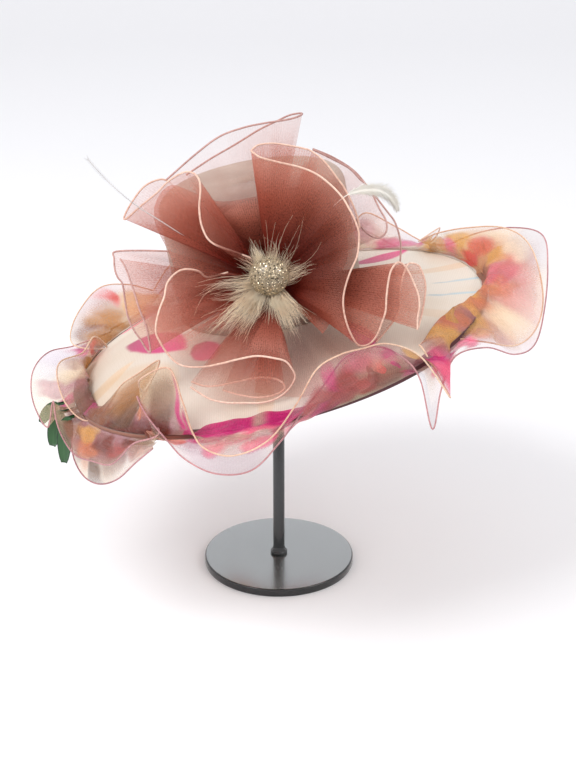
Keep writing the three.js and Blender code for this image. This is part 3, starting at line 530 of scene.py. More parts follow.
# Folded layers inside the flower: doubled cloth without a rolled hem
LAYERS = {
    "layer_left": {"clear": 5, "bulge": 3, "spiral": -3, "order": 4.6, "hem": [
        [-40, -30, 30], [-62, -30, 26], [-84, -20, 20], [-95, -6, 15], [-94, 14, 12], [-101, 33, 9],
        [-112, 55, 6], [-114, 74, 4], [-107, 90, 2], [-96, 97, 0], [-80, 92, -2], [-62, 84, -2],
        [-42, 80, 0], [-16, 84, 2], [4, 88, 3],
    ]},
    "layer_right": {"clear": 5, "bulge": 3, "spiral": -2, "order": 3.4, "hem": [
        [-6, 88, 12], [22, 93, 14], [44, 92, 18], [60, 80, 24], [70, 62, 28], [76, 42, 32],
        [76, 22, 36], [68, 2, 38], [62, -18, 40], [60, -38, 42], [52, -52, 44],
    ]},
    "layer_low": {"clear": 3, "bulge": 3, "spiral": -3, "order": 8.5, "hem": [
        [-14, -108, 40], [12, -112, 42], [36, -112, 42], [60, -106, 38], [80, -94, 34], [95, -77, 31],
        [103, -58, 29],
    ]},
}

# Colours as seen on a screen
COLOURS = {
    "gold": linear(226, 168, 86), "peach": linear(220, 130, 88), "tan": linear(158, 100, 72),
    "brown": linear(122, 48, 32), "magenta": linear(208, 22, 118), "pink": linear(240, 104, 140),
    "coral": linear(222, 72, 62), "mauve": linear(200, 140, 156), "grey": linear(188, 182, 190),
    "cream": linear(250, 228, 192), "rose": linear(180, 78, 72), "blue": linear(166, 204, 222),
    "taupe": linear(120, 84, 62), "ochre": linear(176, 114, 44), "lilac": linear(198, 186, 206),
}


def petal_surface(petal, places, outs):
    """Rulings from the root ring to the hem, billowed and pleated, for every place and out."""
    tip = spline(petal["hem"], places)
    depth = 14 - petal["order"] + petal["spiral"] * (places - 0.5)
    turn = np.arctan2(tip[..., 1], tip[..., 0])
    reach = np.hypot(tip[..., 0], tip[..., 1])
    along = FLOWER["root"] + (reach - FLOWER["root"]) * outs
    wave = np.sin(places * len(petal["hem"]) * 2.1)
    gathers = np.sin(places * len(petal["hem"]) * 9.5 + 1.3 * wave)
    pleat = 1.6 * wave * np.sin(math.pi * outs) + 0.9 * gathers * (1 - outs) ** 1.5 * outs ** 0.5
    billow = petal["bulge"] * np.sin(math.pi * outs ** 0.8) + pleat
    toward = depth + (tip[..., 2] - depth) * outs ** 0.75 + billow
    points = from_flower(along * np.cos(turn), along * np.sin(turn), toward)
    return lift(points, petal["clear"] * np.minimum(1, 0.25 + outs + 0 * places))


def all_round(rows, reach, rise, count=13):
    """Carries a strip on round the back in regular waves, to end on the row that it starts with."""
    first, last = rows[-1][0], rows[0][0] + 360
    n = np.arange(1, count)
    azimuth = first + (last - first) * n / count
    wave = np.cos(n * math.pi / 2)
    level = 0 * azimuth
    back = np.stack([
        azimuth, azimuth, reach - 12 * wave, rise + 24 * wave, level + 16, level + rise * 0.2,
    ], -1).tolist()
    return rows + back + [[last, rows[0][1] + 360] + rows[0][2:]]


STRIPS = {
    "ruffle_upper": {"layer": 1, "rows": all_round(UPPER_HEM, 38, 14), "closed": True},
    "ruffle_lower": {"layer": -1, "rows": all_round(LOWER_HEM, 42, -8), "closed": True},
    "ruffle_under": {"layer": -2.4, "rows": UNDER_HEM, "closed": False},
}


def strip_surface(strip, places, downs):
    """The root follows the binding, bends and goes on to the hem."""
    root, hem, reach, rise, out, up = np.moveaxis(spline(strip["rows"], places)[:, None, :], -1, 0)
    t = downs[None, :]
    start_turn, end_turn = np.radians(root), np.radians(hem)
    half_turn = (start_turn + end_turn) / 2
    level = brim_height(BRIM["outer"], start_turn) + strip["layer"] * STRIP["apart"]
    bow, far = STRIP["root"] + out, STRIP["root"] + reach

    def mix(start, bend, end):
        return (1 - t) ** 2 * start + 2 * t * (1 - t) * bend + t ** 2 * end

    x = mix(STRIP["root"] * np.cos(start_turn), bow * np.cos(half_turn), far * np.cos(end_turn))
    y = mix(STRIP["root"] * np.sin(start_turn), bow * np.sin(half_turn), far * np.sin(end_turn))
    z = mix(level, level + up, brim_height(BRIM["outer"], end_turn) + rise)
    seed = 11 + int(3 * strip["layer"])
    held = np.sin(math.pi * np.clip(t, 0, 1))
    long_crease = held * ripple(root * 0.12, t * 9.0, seed)
    pulled = np.sin(root * 1.35 + 2.2 * ripple(root * 0.2, t, seed + 1))
    gather = np.clip(1 - t, 0, 1) ** 0.7 * held ** 0.5 * pulled
    ridge = 1 - 2.2 * np.abs(ripple(root * 0.30, t * 2.2, seed + 3, 2))
    folds = 1.6 * held * ripple(root * 0.42, t * 3.0, seed + 2)
    folds = folds + 1.2 * long_crease + 1.1 * gather + 2.2 * held * ridge
    fall = 0.6 * folds
    return from_hat(x + fall * np.cos(half_turn), y + fall * np.sin(half_turn), z + 0.9 * folds)


# Printed patches on the strips: azimuth, place down the strip, half size each way, colour, strength
PATCH = ["azimuth", "down", "wide", "deep", "colour", "strength"]
UPPER_PRINT = [
    [352, 0.5, 24, 0.9, "peach", 0.5], [374, 0.5, 18, 0.9, "gold", 0.55], [205, 0.5, 26, 0.9, "tan", 0.5],
    [148, 0.5, 20, 0.8, "ochre", 0.55], [225, 0.0, 19, 0.3, "brown", 0.95],
    [234, 0.2, 7, 0.4, "brown", 0.8], [134, 0.5, 6, 0.4, "gold", 0.8], [144, 0.45, 6, 0.4, "ochre", 0.95],
    [139, 0.9, 2.2, 0.25, "coral", 0.95], [150, 0.6, 4, 0.4, "brown", 0.7],
    [152, 0.3, 5, 0.4, "ochre", 0.9], [160, 0.7, 6, 0.5, "lilac", 0.5], [168, 0.5, 5, 0.5, "coral", 0.7],
    [182, 0.3, 10, 0.35, "ochre", 0.95], [186, 0.85, 6, 0.3, "cream", 0.8],
    [196, 0.35, 7, 0.4, "taupe", 0.95], [199, 0.8, 5, 0.3, "brown", 0.7],
    [205, 0.35, 3, 0.5, "magenta", 0.7], [212, 0.3, 5, 0.5, "tan", 0.95],
    [219, 0.75, 5, 0.4, "ochre", 0.85], [224, 0.4, 6, 0.4, "taupe", 0.95],
    [231, 0.8, 4, 0.3, "peach", 0.8], [237, 0.35, 4, 0.45, "brown", 0.6],
    [239, 0.75, 5, 0.35, "taupe", 0.7], [244.5, 0.8, 1.6, 0.5, "magenta", 0.95],
    [248, 0.4, 2.2, 0.5, "magenta", 0.95], [252, 0.15, 5, 0.3, "magenta", 0.95],
    [260, 0.12, 7, 0.2, "magenta", 0.98], [266, 0.3, 5, 0.22, "pink", 0.9],
    [271, 0.1, 6, 0.2, "magenta", 0.98], [277, 0.4, 3, 0.4, "magenta", 0.7],
    [283, 0.35, 7, 0.5, "rose", 0.9], [289, 0.75, 2.5, 0.4, "magenta", 0.8],
    [293, 0.35, 6, 0.5, "rose", 0.95], [299, 0.8, 5, 0.25, "pink", 0.6], [301, 0.3, 4, 0.4, "coral", 0.8],
    [305, 0.6, 3, 0.4, "magenta", 0.8], [309, 0.35, 4, 0.5, "brown", 0.7], [312, 0.8, 3, 0.4, "gold", 0.9],
    [316, 0.3, 3.4, 0.5, "magenta", 0.9], [318, 0.75, 3.4, 0.4, "pink", 0.9],
    [325, 0.4, 5, 0.5, "gold", 0.98], [331, 0.3, 4, 0.5, "peach", 0.8], [335, 0.75, 5, 0.3, "gold", 0.9],
    [341, 0.3, 5, 0.35, "gold", 0.98], [342, 0.66, 4, 0.18, "peach", 0.8],
    [349, 0.12, 7, 0.25, "gold", 0.98], [345, 0.95, 6, 0.3, "cream", 0.9],
    [350, 0.5, 5, 0.22, "peach", 0.8], [356, 0.75, 9, 0.25, "pink", 0.3],
    [357, 0.35, 6, 0.22, "pink", 0.55], [362, 0.1, 6, 0.2, "tan", 0.95], [366, 0.5, 6, 0.25, "gold", 0.9],
    [368, 0.85, 8, 0.2, "cream", 0.8], [374, 0.5, 4, 0.25, "coral", 0.8],
    [377, 0.14, 5, 0.2, "coral", 0.95], [382, 0.6, 7, 0.4, "gold", 0.95], [388, 0.3, 5, 0.4, "pink", 0.8],
    [396, 0.5, 8, 0.5, "gold", 0.9], [412, 0.3, 9, 0.4, "magenta", 0.8], [428, 0.6, 9, 0.4, "mauve", 0.8],
    [444, 0.3, 8, 0.4, "gold", 0.9], [460, 0.5, 9, 0.4, "peach", 0.8], [474, 0.25, 7, 0.4, "pink", 0.8],
]
LOWER_PRINT = [
    [350, 0.5, 14, 0.8, "peach", 0.35], [372, 0.5, 18, 0.9, "gold", 0.45], [214, 0.5, 22, 0.9, "tan", 0.5],
    [134, 0.4, 7, 0.5, "pink", 0.7], [148, 0.5, 7, 0.5, "gold", 0.7], [158, 0.4, 4, 0.4, "magenta", 0.85],
    [164, 0.35, 4, 0.3, "brown", 0.7], [168, 0.75, 8, 0.4, "lilac", 0.6], [178, 0.5, 3, 0.6, "mauve", 0.7],
    [186, 0.2, 5, 0.3, "magenta", 0.9], [192, 0.5, 4, 0.5, "brown", 0.6],
    [199, 0.25, 5, 0.35, "brown", 0.8], [205, 0.5, 5, 0.4, "tan", 0.95], [211, 0.3, 5, 0.3, "gold", 0.85],
    [215, 0.7, 6, 0.3, "peach", 0.9], [221, 0.35, 4, 0.4, "brown", 0.85], [227, 0.6, 5, 0.4, "rose", 0.8],
    [232, 0.3, 4, 0.4, "brown", 0.85], [237, 0.6, 4, 0.5, "coral", 0.6], [243, 0.25, 4, 0.3, "coral", 0.8],
    [252, 0.12, 6, 0.18, "magenta", 0.98], [257, 0.4, 4, 0.2, "pink", 0.85],
    [262, 0.15, 5, 0.2, "magenta", 0.95], [267, 0.42, 4, 0.18, "pink", 0.9],
    [272, 0.15, 4, 0.2, "magenta", 0.9], [276, 0.6, 4, 0.3, "pink", 0.8],
    [281, 0.3, 3, 0.4, "magenta", 0.8], [287, 0.5, 5, 0.5, "rose", 0.9], [294, 0.45, 5, 0.5, "rose", 0.9],
    [300, 0.4, 4, 0.4, "brown", 0.7], [305, 0.4, 3, 0.4, "magenta", 0.7], [309, 0.8, 3, 0.4, "grey", 0.7],
    [316.5, 0.5, 3.2, 0.7, "pink", 0.95], [319, 0.3, 2, 0.4, "magenta", 0.9],
    [325, 0.5, 4, 0.5, "pink", 0.9], [330, 0.3, 4, 0.4, "peach", 0.6], [337, 0.5, 7, 0.5, "gold", 0.5],
    [347, 0.5, 8, 0.5, "cream", 0.5], [356, 0.3, 5, 0.4, "gold", 0.8], [366, 0.3, 7, 0.3, "pink", 0.8],
    [367, 0.85, 8, 0.3, "grey", 0.6], [378, 0.4, 7, 0.4, "gold", 0.8], [392, 0.4, 9, 0.4, "gold", 0.8],
    [410, 0.5, 10, 0.5, "cream", 0.6], [430, 0.3, 8, 0.4, "coral", 0.8], [448, 0.5, 9, 0.4, "mauve", 0.8],
    [466, 0.4, 9, 0.4, "gold", 0.8],
]
UNDER_PRINT = [
    [204, 0.4, 5, 0.6, "taupe", 0.7], [212, 0.5, 6, 0.4, "peach", 0.6], [216, 0.9, 3, 0.25, "taupe", 0.9],
    [222, 0.5, 5, 0.5, "brown", 0.6], [232, 0.4, 6, 0.5, "rose", 0.6],
]
SHEER = ("cream", "lilac", "grey")
PRINTS = {"ruffle_upper": UPPER_PRINT, "ruffle_lower": LOWER_PRINT, "ruffle_under": UNDER_PRINT}
# How much of the light a strip stops at its root and at its hem
COVER = {"ruffle_upper": (0.70, 0.18), "ruffle_lower": (0.64, 0.17), "ruffle_under": (0.55, 0.22)}


def strip_dye(name, azimuth, down, seed):
    """Dye and cover of a strip: soft printed patches on sheer cream and mauve cloth."""
    warp_a = 2.6 * ripple(azimuth * 0.35, down * 4.0, seed)
    warp_d = 0.12 * ripple(azimuth * 0.30, down * 3.0, seed + 1)
    streak = ripple(azimuth * 0.5, down * 3.2, seed + 3)
    fine = ripple(azimuth * 1.5, down * 7.0, seed + 4)
    veil = smooth(-0.5, 0.6, ripple(azimuth * 0.16, down * 1.5, seed + 2))[..., None]
    dye = COLOURS["cream"] * veil + COLOURS["mauve"] * (1 - veil)
    dye = dye * (1 - 0.3 * (1 - down[..., None]))
    ink = np.zeros(azimuth.shape)
    for row in PRINTS[name]:
        patch = dict(zip(PATCH, row))
        away = (azimuth + warp_a - patch["azimuth"] + 180) % 360 - 180
        near = (away / patch["wide"]) ** 2 + ((down + warp_d - patch["down"]) / patch["deep"]) ** 2
        near = near * 0.85 + 0.24 * streak + 0.08 * fine
        share = patch["strength"] * (1 - smooth(0.2, 1.15, near))
        tone = COLOURS[patch["colour"]] * (1 + 0.15 * streak[..., None])
        dye = dye * (1 - share[..., None]) + tone * share[..., None]
        ink = np.maximum(ink, share * (0.2 if patch["colour"] in SHEER else 1))
    root, hem = COVER[name]
    cover = root + (hem - root) * smooth(0.0, 0.85, down)
    cover = cover + DENSE["cover"] * np.exp(-((azimuth - DENSE["azimuth"]) / DENSE["half"]) ** 2)
    cover = cover + (0.94 - cover) * 0.85 * ink * smooth(1.05, 0.75, down)
    return np.concatenate([np.clip(dye, 0, 1), np.clip(cover, 0.1, 0.97)[..., None]], -1)


# How each petal's cloth looks: cover of one layer, gathered layers at the root, paleness
PETAL_LOOKS = {
    "petal_lower_left": [0.29, 1.6, 0.35], "petal_right": [0.32, 6.0, 0.1],
    "petal_left": [0.24, 2.6, 0.25], "petal_right_back": [0.34, 3.6, 0.1],
    "petal_top": [0.11, 2.2, 0.7], "petal_loop_right": [0.12, 1.4, 0.5],
    "petal_back_right": [0.13, 1.6, 0.4], "petal_lower_right": [0.34, 2.0, 0.2],
    "petal_lower_inner": [0.20, 1.4, 0.4], "petal_far_left": [0.28, 2.2, 0.3],
    "layer_left": [0.42, 4.0, 0.15], "layer_low": [0.15, 1.0, 0.7],
    "layer_right": [0.52, 6.0, 0.0],
}
# Where the cloth of a petal lies double in a fold, as shares along its hem
FOLDS = {
    "petal_lower_left": [[0.34, 0.41], [0.60, 0.69], [0.80, 0.87]],
    "petal_lower_inner": [[0.25, 0.36], [0.62, 0.76]],
    "petal_lower_right": [[0.30, 0.42], [0.66, 0.74]],
    "petal_left": [[0.36, 0.46], [0.70, 0.78]],
    "petal_right_back": [[0.40, 0.52]],
    "petal_far_left": [[0.42, 0.56]],
    "petal_top": [[0.30, 0.40]],
}
# Painted shade in the flower's deep hollows, seen from the front: right, up, size each way, steepness,
# strength
SHADED_HOLLOWS = [[38, 24, 52, 56, 2.2, 0.85], [-45, 8, 50, 30, 2, 0.45]]
# The deepest of these rusts is partly the gathered cloth's own colour and partly painted shade of the
# flower's heart
RUST, RUST_DEEP_AND_SHADE, RUST_PALE = linear(194, 104, 78), linear(132, 28, 6), linear(222, 158, 140)
# The deep red-brown colour of the painted shade in the hollows
HOLLOW_SHADE_DYE = linear(72, 8, 0)


def painted_hollow_shade(points):
    """How much painted shade the flower's deep hollows beside the brooch lay on the cloth's dye."""
    right, back, level = np.moveaxis(points, -1, 0) - np.reshape(
        [FLOWER["x"], FLOWER["y"], FLOWER["z"]], (3, 1, 1))
    up = level * math.cos(FLOWER["view"]) + back * math.sin(FLOWER["view"])
    dark = 0
    for x, y, wide, high, steep, strength in SHADED_HOLLOWS:
        dark = dark + strength * np.exp(-np.hypot((right - x) / wide, (up - y) / high) ** steep)
    return np.clip(dark, 0, 1)


def petal_dye(name, points, places, outs):
    """Dye and cover of a petal: deep and gathered at the root, where the dye also carries painted shade,
    pale and sheer at the hem.
    """
    cover, layers, pale = PETAL_LOOKS[name]
    deep = np.clip((1 - outs) ** 0.9, 0, 1) + 0 * places
    wisps = 0.12 * ripple(places * 26, outs * 1.6, 5)
    stacked = 1 - (1 - cover) ** (1 + layers * deep)
    for first, last in FOLDS.get(name, []):
        drawn = places + 0.035 * np.sin(3.0 * outs + 9 * first)
        inside = smooth(first - 0.004, first + 0.004, drawn) * smooth(last + 0.004, last - 0.004, drawn)
        doubled = inside * smooth(0.96, 0.80, outs)
        stacked = stacked + (1 - (1 - stacked) ** 2 - stacked) * doubled
    # The turned-up end and the middle of the front petal lie single
    if name == "petal_lower_left":
        stacked = stacked * (1 - 0.5 * smooth(0.68, 0.92, outs) * smooth(0.66, 0.78, places))
        single = np.exp(-((places - 0.45) / 0.06) ** 2) * smooth(0.45, 0.6, outs)
        stacked = stacked * (1 - 0.6 * single)
    # Toward the root the dye runs to a deeper rust: partly the colour of the gathered layers, partly painted
    # shade of the flower's heart
    near = np.clip(1.35 * deep ** 1.5 + wisps, 0, 1)[..., None]
    pale = np.clip(pale + 0.55 * smooth(0.6, 1.0, outs) + 0 * places, 0, 1)[..., None]
    dye = (RUST * (1 - pale) + RUST_PALE * pale) * (1 - near) + RUST_DEEP_AND_SHADE * near
    # Painted shade: the dye is darkened toward a deep red-brown in the hollows beside the brooch
    shade = painted_hollow_shade(points)[..., None]
    dye = dye * (1 - 0.9 * shade) + HOLLOW_SHADE_DYE * 0.9 * shade
    stacked = np.clip(stacked + 0.5 * wisps, 0.1, 0.97)
    return np.concatenate([dye, stacked[..., None]], -1)


def cloth_piece(name, points, dye, material, slot, *nodes):
    """A single layer of cloth from a grid of points, with its cut laid out in metres as its UV."""
    along = np.linalg.norm(np.diff(points[:, -1], axis=0), axis=1)
    across = np.linalg.norm(np.diff(points, axis=1), axis=2).mean(0)
    along, across = (np.concatenate([[0], np.cumsum(steps)]) * MM for steps in (along, across))
    uvs = np.stack(np.broadcast_arrays(along[:, None], across[None, :]), -1)
    mesh = mesh_from(name, points, grid_faces(*points.shape[:2]), uvs, dye)
    return finish_piece(link(mesh, material), slot, *nodes)


def cord_piece(name, path, radius, material, slot, closed=False):
    return finish_piece(link(mesh_from(name, *tube(path, radius, closed=closed)), material), slot)


flower_cloth = cloth_material("flower organza", weave=125, thread=520, fine=0.26, speck=1.2, glow=0.38,
                              gloss=0.15)
strip_cloth = cloth_material("printed organza", weave=110, thread=620, fine=0.12, speck=0.9, glow=0.3,
                             gloss=0.7, rough=0.3, crease=0.006)
peach_cord = cord_material("peach hem cord", linear(246, 214, 194), linear(196, 144, 124))
far_cord = cord_material("rust hem cord", linear(214, 172, 162), linear(158, 108, 102))
cream_cord = cord_material("cream hem cord", linear(244, 214, 184), linear(196, 140, 116))
pink_cord = cord_material("pink hem cord", linear(214, 156, 156), linear(150, 92, 100))
FAR_PETALS = ("petal_top", "petal_back_right", "petal_loop_right", "petal_far_left")


def make_petals():
    """The petals with their hem cords, then the folded layers inside the flower."""
    for name, petal in {**PETALS, **LAYERS}.items():
        places = np.linspace(0, 1, (len(petal["hem"]) - 1) * FINE["petal"] + 1)[:, None]
        outs = np.linspace(0, 1, FINE["out"])[None, :]
        points = petal_surface(petal, places, outs)
        dye = petal_dye(name, points, places, outs)
        if name in LAYERS:
            piece = cloth_piece(name, points, dye, flower_cloth, "flower_organza")
            continue
        piece = cloth_piece(name + "_cloth", points, dye, flower_cloth, "flower_organza", name)
        material = far_cord if name in FAR_PETALS else peach_cord
        cord = cord_piece(name + "_hem", points[:, -1], PETAL_CORD, material, "flower_organza")


def headed(azimuth, points, dye):
    """Adds the gathered heading that laps over the binding onto the brim."""
    deeper = 6 * zone("front heading", azimuth) + 7 * zone("left heading", azimuth)
    lap = HEADING["lap"] + deeper + 2.6 * ripple(azimuth * 0.3, 0 * azimuth, 61)
    lap = lap * (1 - zone("open heading", azimuth))
    turn = np.radians(azimuth)
    columns = []
    for k in range(HEADING["rows"]):
        inward = 1 - k / HEADING["rows"]
        radius = STRIP["root"] - lap * inward
        raised = HEADING["raised"] + 0.35 * np.sin(azimuth * 0.9) * inward
        height = brim_height(np.minimum(radius, BRIM["outer"]), turn) + raised
        columns.append(from_hat(radius * np.cos(turn), radius * np.sin(turn), height))
    dye = np.concatenate([dye[:, :1]] * HEADING["rows"] + [dye], 1)
    return np.concatenate([np.stack(columns, 1), points], 1), dye


def make_strips():
    for seed, (name, strip) in enumerate(STRIPS.items()):
        places = np.linspace(0, 1, (len(strip["rows"]) - 1) * FINE["strip"] + 1)
        downs = np.linspace(0, 1, FINE["down"])
        points = strip_surface(strip, places, downs)
        azimuth = spline(strip["rows"], places)[:, 0]
        turns, down = np.meshgrid(azimuth, downs, indexing="ij")
        dye = strip_dye(name, turns, down, 40 + 7 * seed)
        if name == "ruffle_upper":
            points, dye = headed(azimuth, points, dye)
        piece = cloth_piece(name + "_cloth", points, dye, strip_cloth, "ruffle_organza", name)
        hem = points[:-1, -1] if strip["closed"] else points[:, -1]
        material = cream_cord if name == "ruffle_upper" else pink_cord
        cord = cord_piece(name + "_hem", hem, HEM_CORD, material, "ruffle_organza", strip["closed"])


def make_stand():
    gloss = gloss_material("black gloss paint", (0.008, 0.008, 0.009), 0.16)
    mirror = gloss_material("polished top", (0.40, 0.42, 0.42), 0.22, metal=0.9)
    edge, thick = BASE["radius"], BASE["thick"]
    profile = [[0.01, 0], [edge - 1, 0], [edge - 0.3, 0.3], [edge, 1]]
    profile += arc(BASE["round"], [edge - BASE["round"], thick - BASE["round"]], 0, 90, 6)
    profile += [[40, thick], [0.01, thick]]
    plate = link(mesh_from("base_plate", *lathe(profile, 160)), gloss, mirror)
    for face in plate.data.polygons:
        face.material_index = 1 if face.center.z > 0.99 * thick * MM else 0
    finish_piece(plate, "stand_gloss", "stand_base")
    foot, collar, radius, top = thick + GAP, POST["collar"], POST["radius"], POST["top"]
    profile = [[0.01, foot], [collar - 0.4, foot], [collar, foot + 0.4], [collar, foot + 2.6]]
    profile += [[collar - 0.5, foot + 3.2], [radius + 1, foot + 5], [radius, foot + 9]]
    profile += [[radius, top - 0.6], [radius - 0.6, top], [0.01, top]]
    post = link(mesh_from("post_tube", *lathe(profile, 64)), gloss)
    finish_piece(post, "stand_gloss", "stand_post")
    repaint("stand_head", gloss)


def repaint(name, material):
    """Gives a piece of the frame that stays as it is a new material."""
    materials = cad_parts[name].data.materials
    materials.clear()
    materials.append(material)


def make_crown():
    """The crown's outer and inner walls, with a flat top."""
    foot = BRIM["drop"] + BRIM["thick"] / 2 + GAP
    inside = CROWN["radius"] - CROWN["wall"]
    top, bend = CROWN["high"], CROWN["round"]
    centre = [CROWN["radius"] - bend, top - bend]
    profile = [[CROWN["radius"], foot + k * 9.0] for k in range(12)]
    profile += arc(bend, centre, 0, 90, 8)
    profile += [[60, top], [30, top], [0.01, top], [0.01, top - CROWN["wall"]]]
    profile += arc(bend - CROWN["wall"], centre, 90, 0, 8) + [[inside, foot]]
    sides = 128
    verts, faces = lathe(profile, sides)
    turn = np.arctan2(verts[:, 1], verts[:, 0])
    sag = 0.5 * ripple(turn * 5, verts[:, 2] * 0.05, 21)
    radius = np.hypot(verts[:, 0], verts[:, 1])
    scale = np.where(radius > 5, (radius - np.abs(sag)) / np.maximum(radius, 1), 1)
    spots = from_hat(verts[:, 0] * scale, verts[:, 1] * scale, verts[:, 2])
    last = (len(profile) - 1) * sides
    k = np.arange(sides)
    rim = np.stack([k, (k + 1) % sides, last + (k + 1) % sides, last + k], -1)[:, ::-1]
    uvs = np.stack([turn * CROWN["radius"], verts[:, 2]], -1) * MM
    cloth = satin_material("crown satin", 190, 0.4, (linear(192, 182, 168), linear(160, 150, 138)))
    mesh = mesh_from("crown_shell", spots, np.concatenate([faces, rim]), uvs)
    finish_piece(link(mesh, cloth), "crown_fabric", "crown")


# Printed motifs on the brim, in its own plane: middle, half length and width, turn, colour, strength
MOTIF = ["x", "y", "long", "wide", "turn", "colour", "strength"]
BRIM_PRINT = [
    [-124, -40, 56, 15, -49, "magenta", 0.95], [-68, -98, 20, 13, -60, "pink", 0.9],
    [89, -110, 27, 12, -68, "magenta", 0.95], [196, -25, 40, 2.4, -5, "blue", 0.6],
    [206, 14, 36, 2.6, 4, "blue", 0.6], [190, 62, 60, 9, 14, "gold", 0.28],
    [186, -80, 60, 10, -28, "gold", 0.22], [-190, -70, 44, 10, 24, "gold", 0.3],
    [-150, -120, 40, 6, 40, "peach", 0.25], [-60, 150, 48, 14, 110, "magenta", 0.9],
    [20, 170, 22, 12, 80, "pink", 0.85], [120, 130, 50, 13, 48, "magenta", 0.9],
    [-160, 90, 30, 12, 150, "pink", 0.8], [60, 190, 60, 4, 70, "blue", 0.5],
    [-10, -180, 50, 8, -90, "gold", 0.2], [-170, -30, 90, 60, 70, "tan", 0.14],
    [-150, -110, 70, 40, -50, "gold", 0.22],
]


def brim_dye(x, y):
    dye = linear(232, 222, 209) + np.zeros(x.shape + (3,))
    warm = smooth(-0.3, 0.8, ripple(x * 0.03, y * 0.03, 31))[..., None]
    dye = dye * (1 - 0.3 * warm) + linear(222, 200, 170) * 0.3 * warm
    for row in BRIM_PRINT:
        motif = dict(zip(MOTIF, row))
        turn = math.radians(motif["turn"])
        dx, dy = x - motif["x"], y - motif["y"]
        along = (dx * math.cos(turn) + dy * math.sin(turn)) / motif["long"]
        across = (dy * math.cos(turn) - dx * math.sin(turn)) / motif["wide"]
        across = across + 0.25 * ripple(along * 3, across, 33)
        near = along ** 2 + (across / np.clip(1.1 - 0.5 * along ** 2, 0.3, 2)) ** 2
        share = motif["strength"] * (1 - smooth(0.7, 1.15, near))
        tone = COLOURS[motif["colour"]] * (1 + 0.35 * np.clip(along, -1, 1))[..., None]
        dye = dye * (1 - share[..., None]) + tone * share[..., None]
    return np.concatenate([np.clip(dye, 0, 1), np.ones(x.shape + (1,))], -1)


def ring_surface(radii, lifts, sides, wave=0.0):
    """Rings round the leaning hat at radii and lifts above the brim's middle surface."""
    turn = (2 * math.pi * np.arange(sides) / sides)[None, :]
    held = smooth(100, 130, radii) * (1 - smooth(200, 220, radii))
    settle = wave * ripple(turn * 3, radii * 0.03, 51) * held
    height = brim_height(np.maximum(radii, BRIM["inner"]), turn) + lifts + settle
    x, y = radii * np.cos(turn), radii * np.sin(turn)
    return from_hat(x, y, height), x, y


def make_brim():
    """The brim's cloth, top and underside, with its print."""
    half = BRIM["thick"] / 2
    reach = np.linspace(BRIM["inner"] - 1, BRIM["outer"], 64)[:, None]
    sides = 480
    lifts = np.concatenate([0 * reach + half, 0 * reach - half])
    points, x, y = ring_surface(np.concatenate([reach, reach[::-1]]), lifts, sides, wave=0.7)
    faces = grid_faces(len(points), sides, wrap_rows=True, wrap_columns=True)[:, ::-1]
    mesh = mesh_from("brim_cloth", points, faces, np.stack([x, y], -1) * MM, brim_dye(x, y))
    finish_piece(link(mesh, satin_material("brim satin", 170, 0.45)), "brim_satin", "brim")


def make_binding():
    """The maroon binding over the brim's edge: paler on top, and rust at the hat's front left."""
    lip, outer = BRIM["outer"] - BINDING["over"], BRIM["outer"] + BINDING["out"]
    wall = BRIM["thick"] / 2 + GAP + BINDING["wall"]
    inner = wall - BINDING["wall"]
    section = [[lip, inner], [lip, wall], [lip + 3, wall], [outer - 0.8, wall - 0.3], [outer, wall - 1.1]]
    section += [[outer, 1.1 - wall], [outer - 0.8, 0.3 - wall], [lip + 3, -wall], [lip, -wall]]
    section += [[lip, -inner], [BRIM["outer"] + GAP, -inner], [BRIM["outer"] + GAP, inner]]
    radii, heights = np.array(section)[:, :1], np.array(section)[:, 1:]
    azimuth = np.arange(360)
    deeper = 1.0 + 3.6 * zone("deep binding", azimuth, 2)
    lifts = np.where(heights < 0, heights - deeper * (radii > lip + 2), heights)
    points, x, y = ring_surface(radii, lifts, len(azimuth))
    faces = grid_faces(len(section), len(azimuth), wrap_rows=True, wrap_columns=True)[:, ::-1]
    radius = np.hypot(x, y)
    top = smooth(outer - 0.2, outer - 1.4, radius) * (lifts > 0) * (1 - zone("bare binding", azimuth))
    top = top[..., None]
    lapped = zone("rust binding", azimuth)[:, None]
    maroon = linear(74, 22, 28) * (1 - lapped) + linear(152, 98, 78) * lapped
    dye = maroon * (1 - top) + linear(206, 190, 180) * top
    dye = np.concatenate([dye, np.ones(x.shape + (1,))], -1)
    uvs = np.stack([np.arctan2(y, x) * BRIM["outer"], radius], -1) * MM
    mesh = mesh_from("edge_binding", points, faces, uvs, dye)
    finish_piece(link(mesh, satin_material("maroon binding", 260, 0.4)), "binding_satin", "brim_binding")


def on_brooch(verts, sunk=0.0):
    """Points of the brooch, with its back on the flower, in the part's own place."""
    spots = from_flower(verts[:, 0], verts[:, 1], BROOCH["back"] + verts[:, 2] - sunk)
    return spots + [0, 0, BROOCH["raised"]]


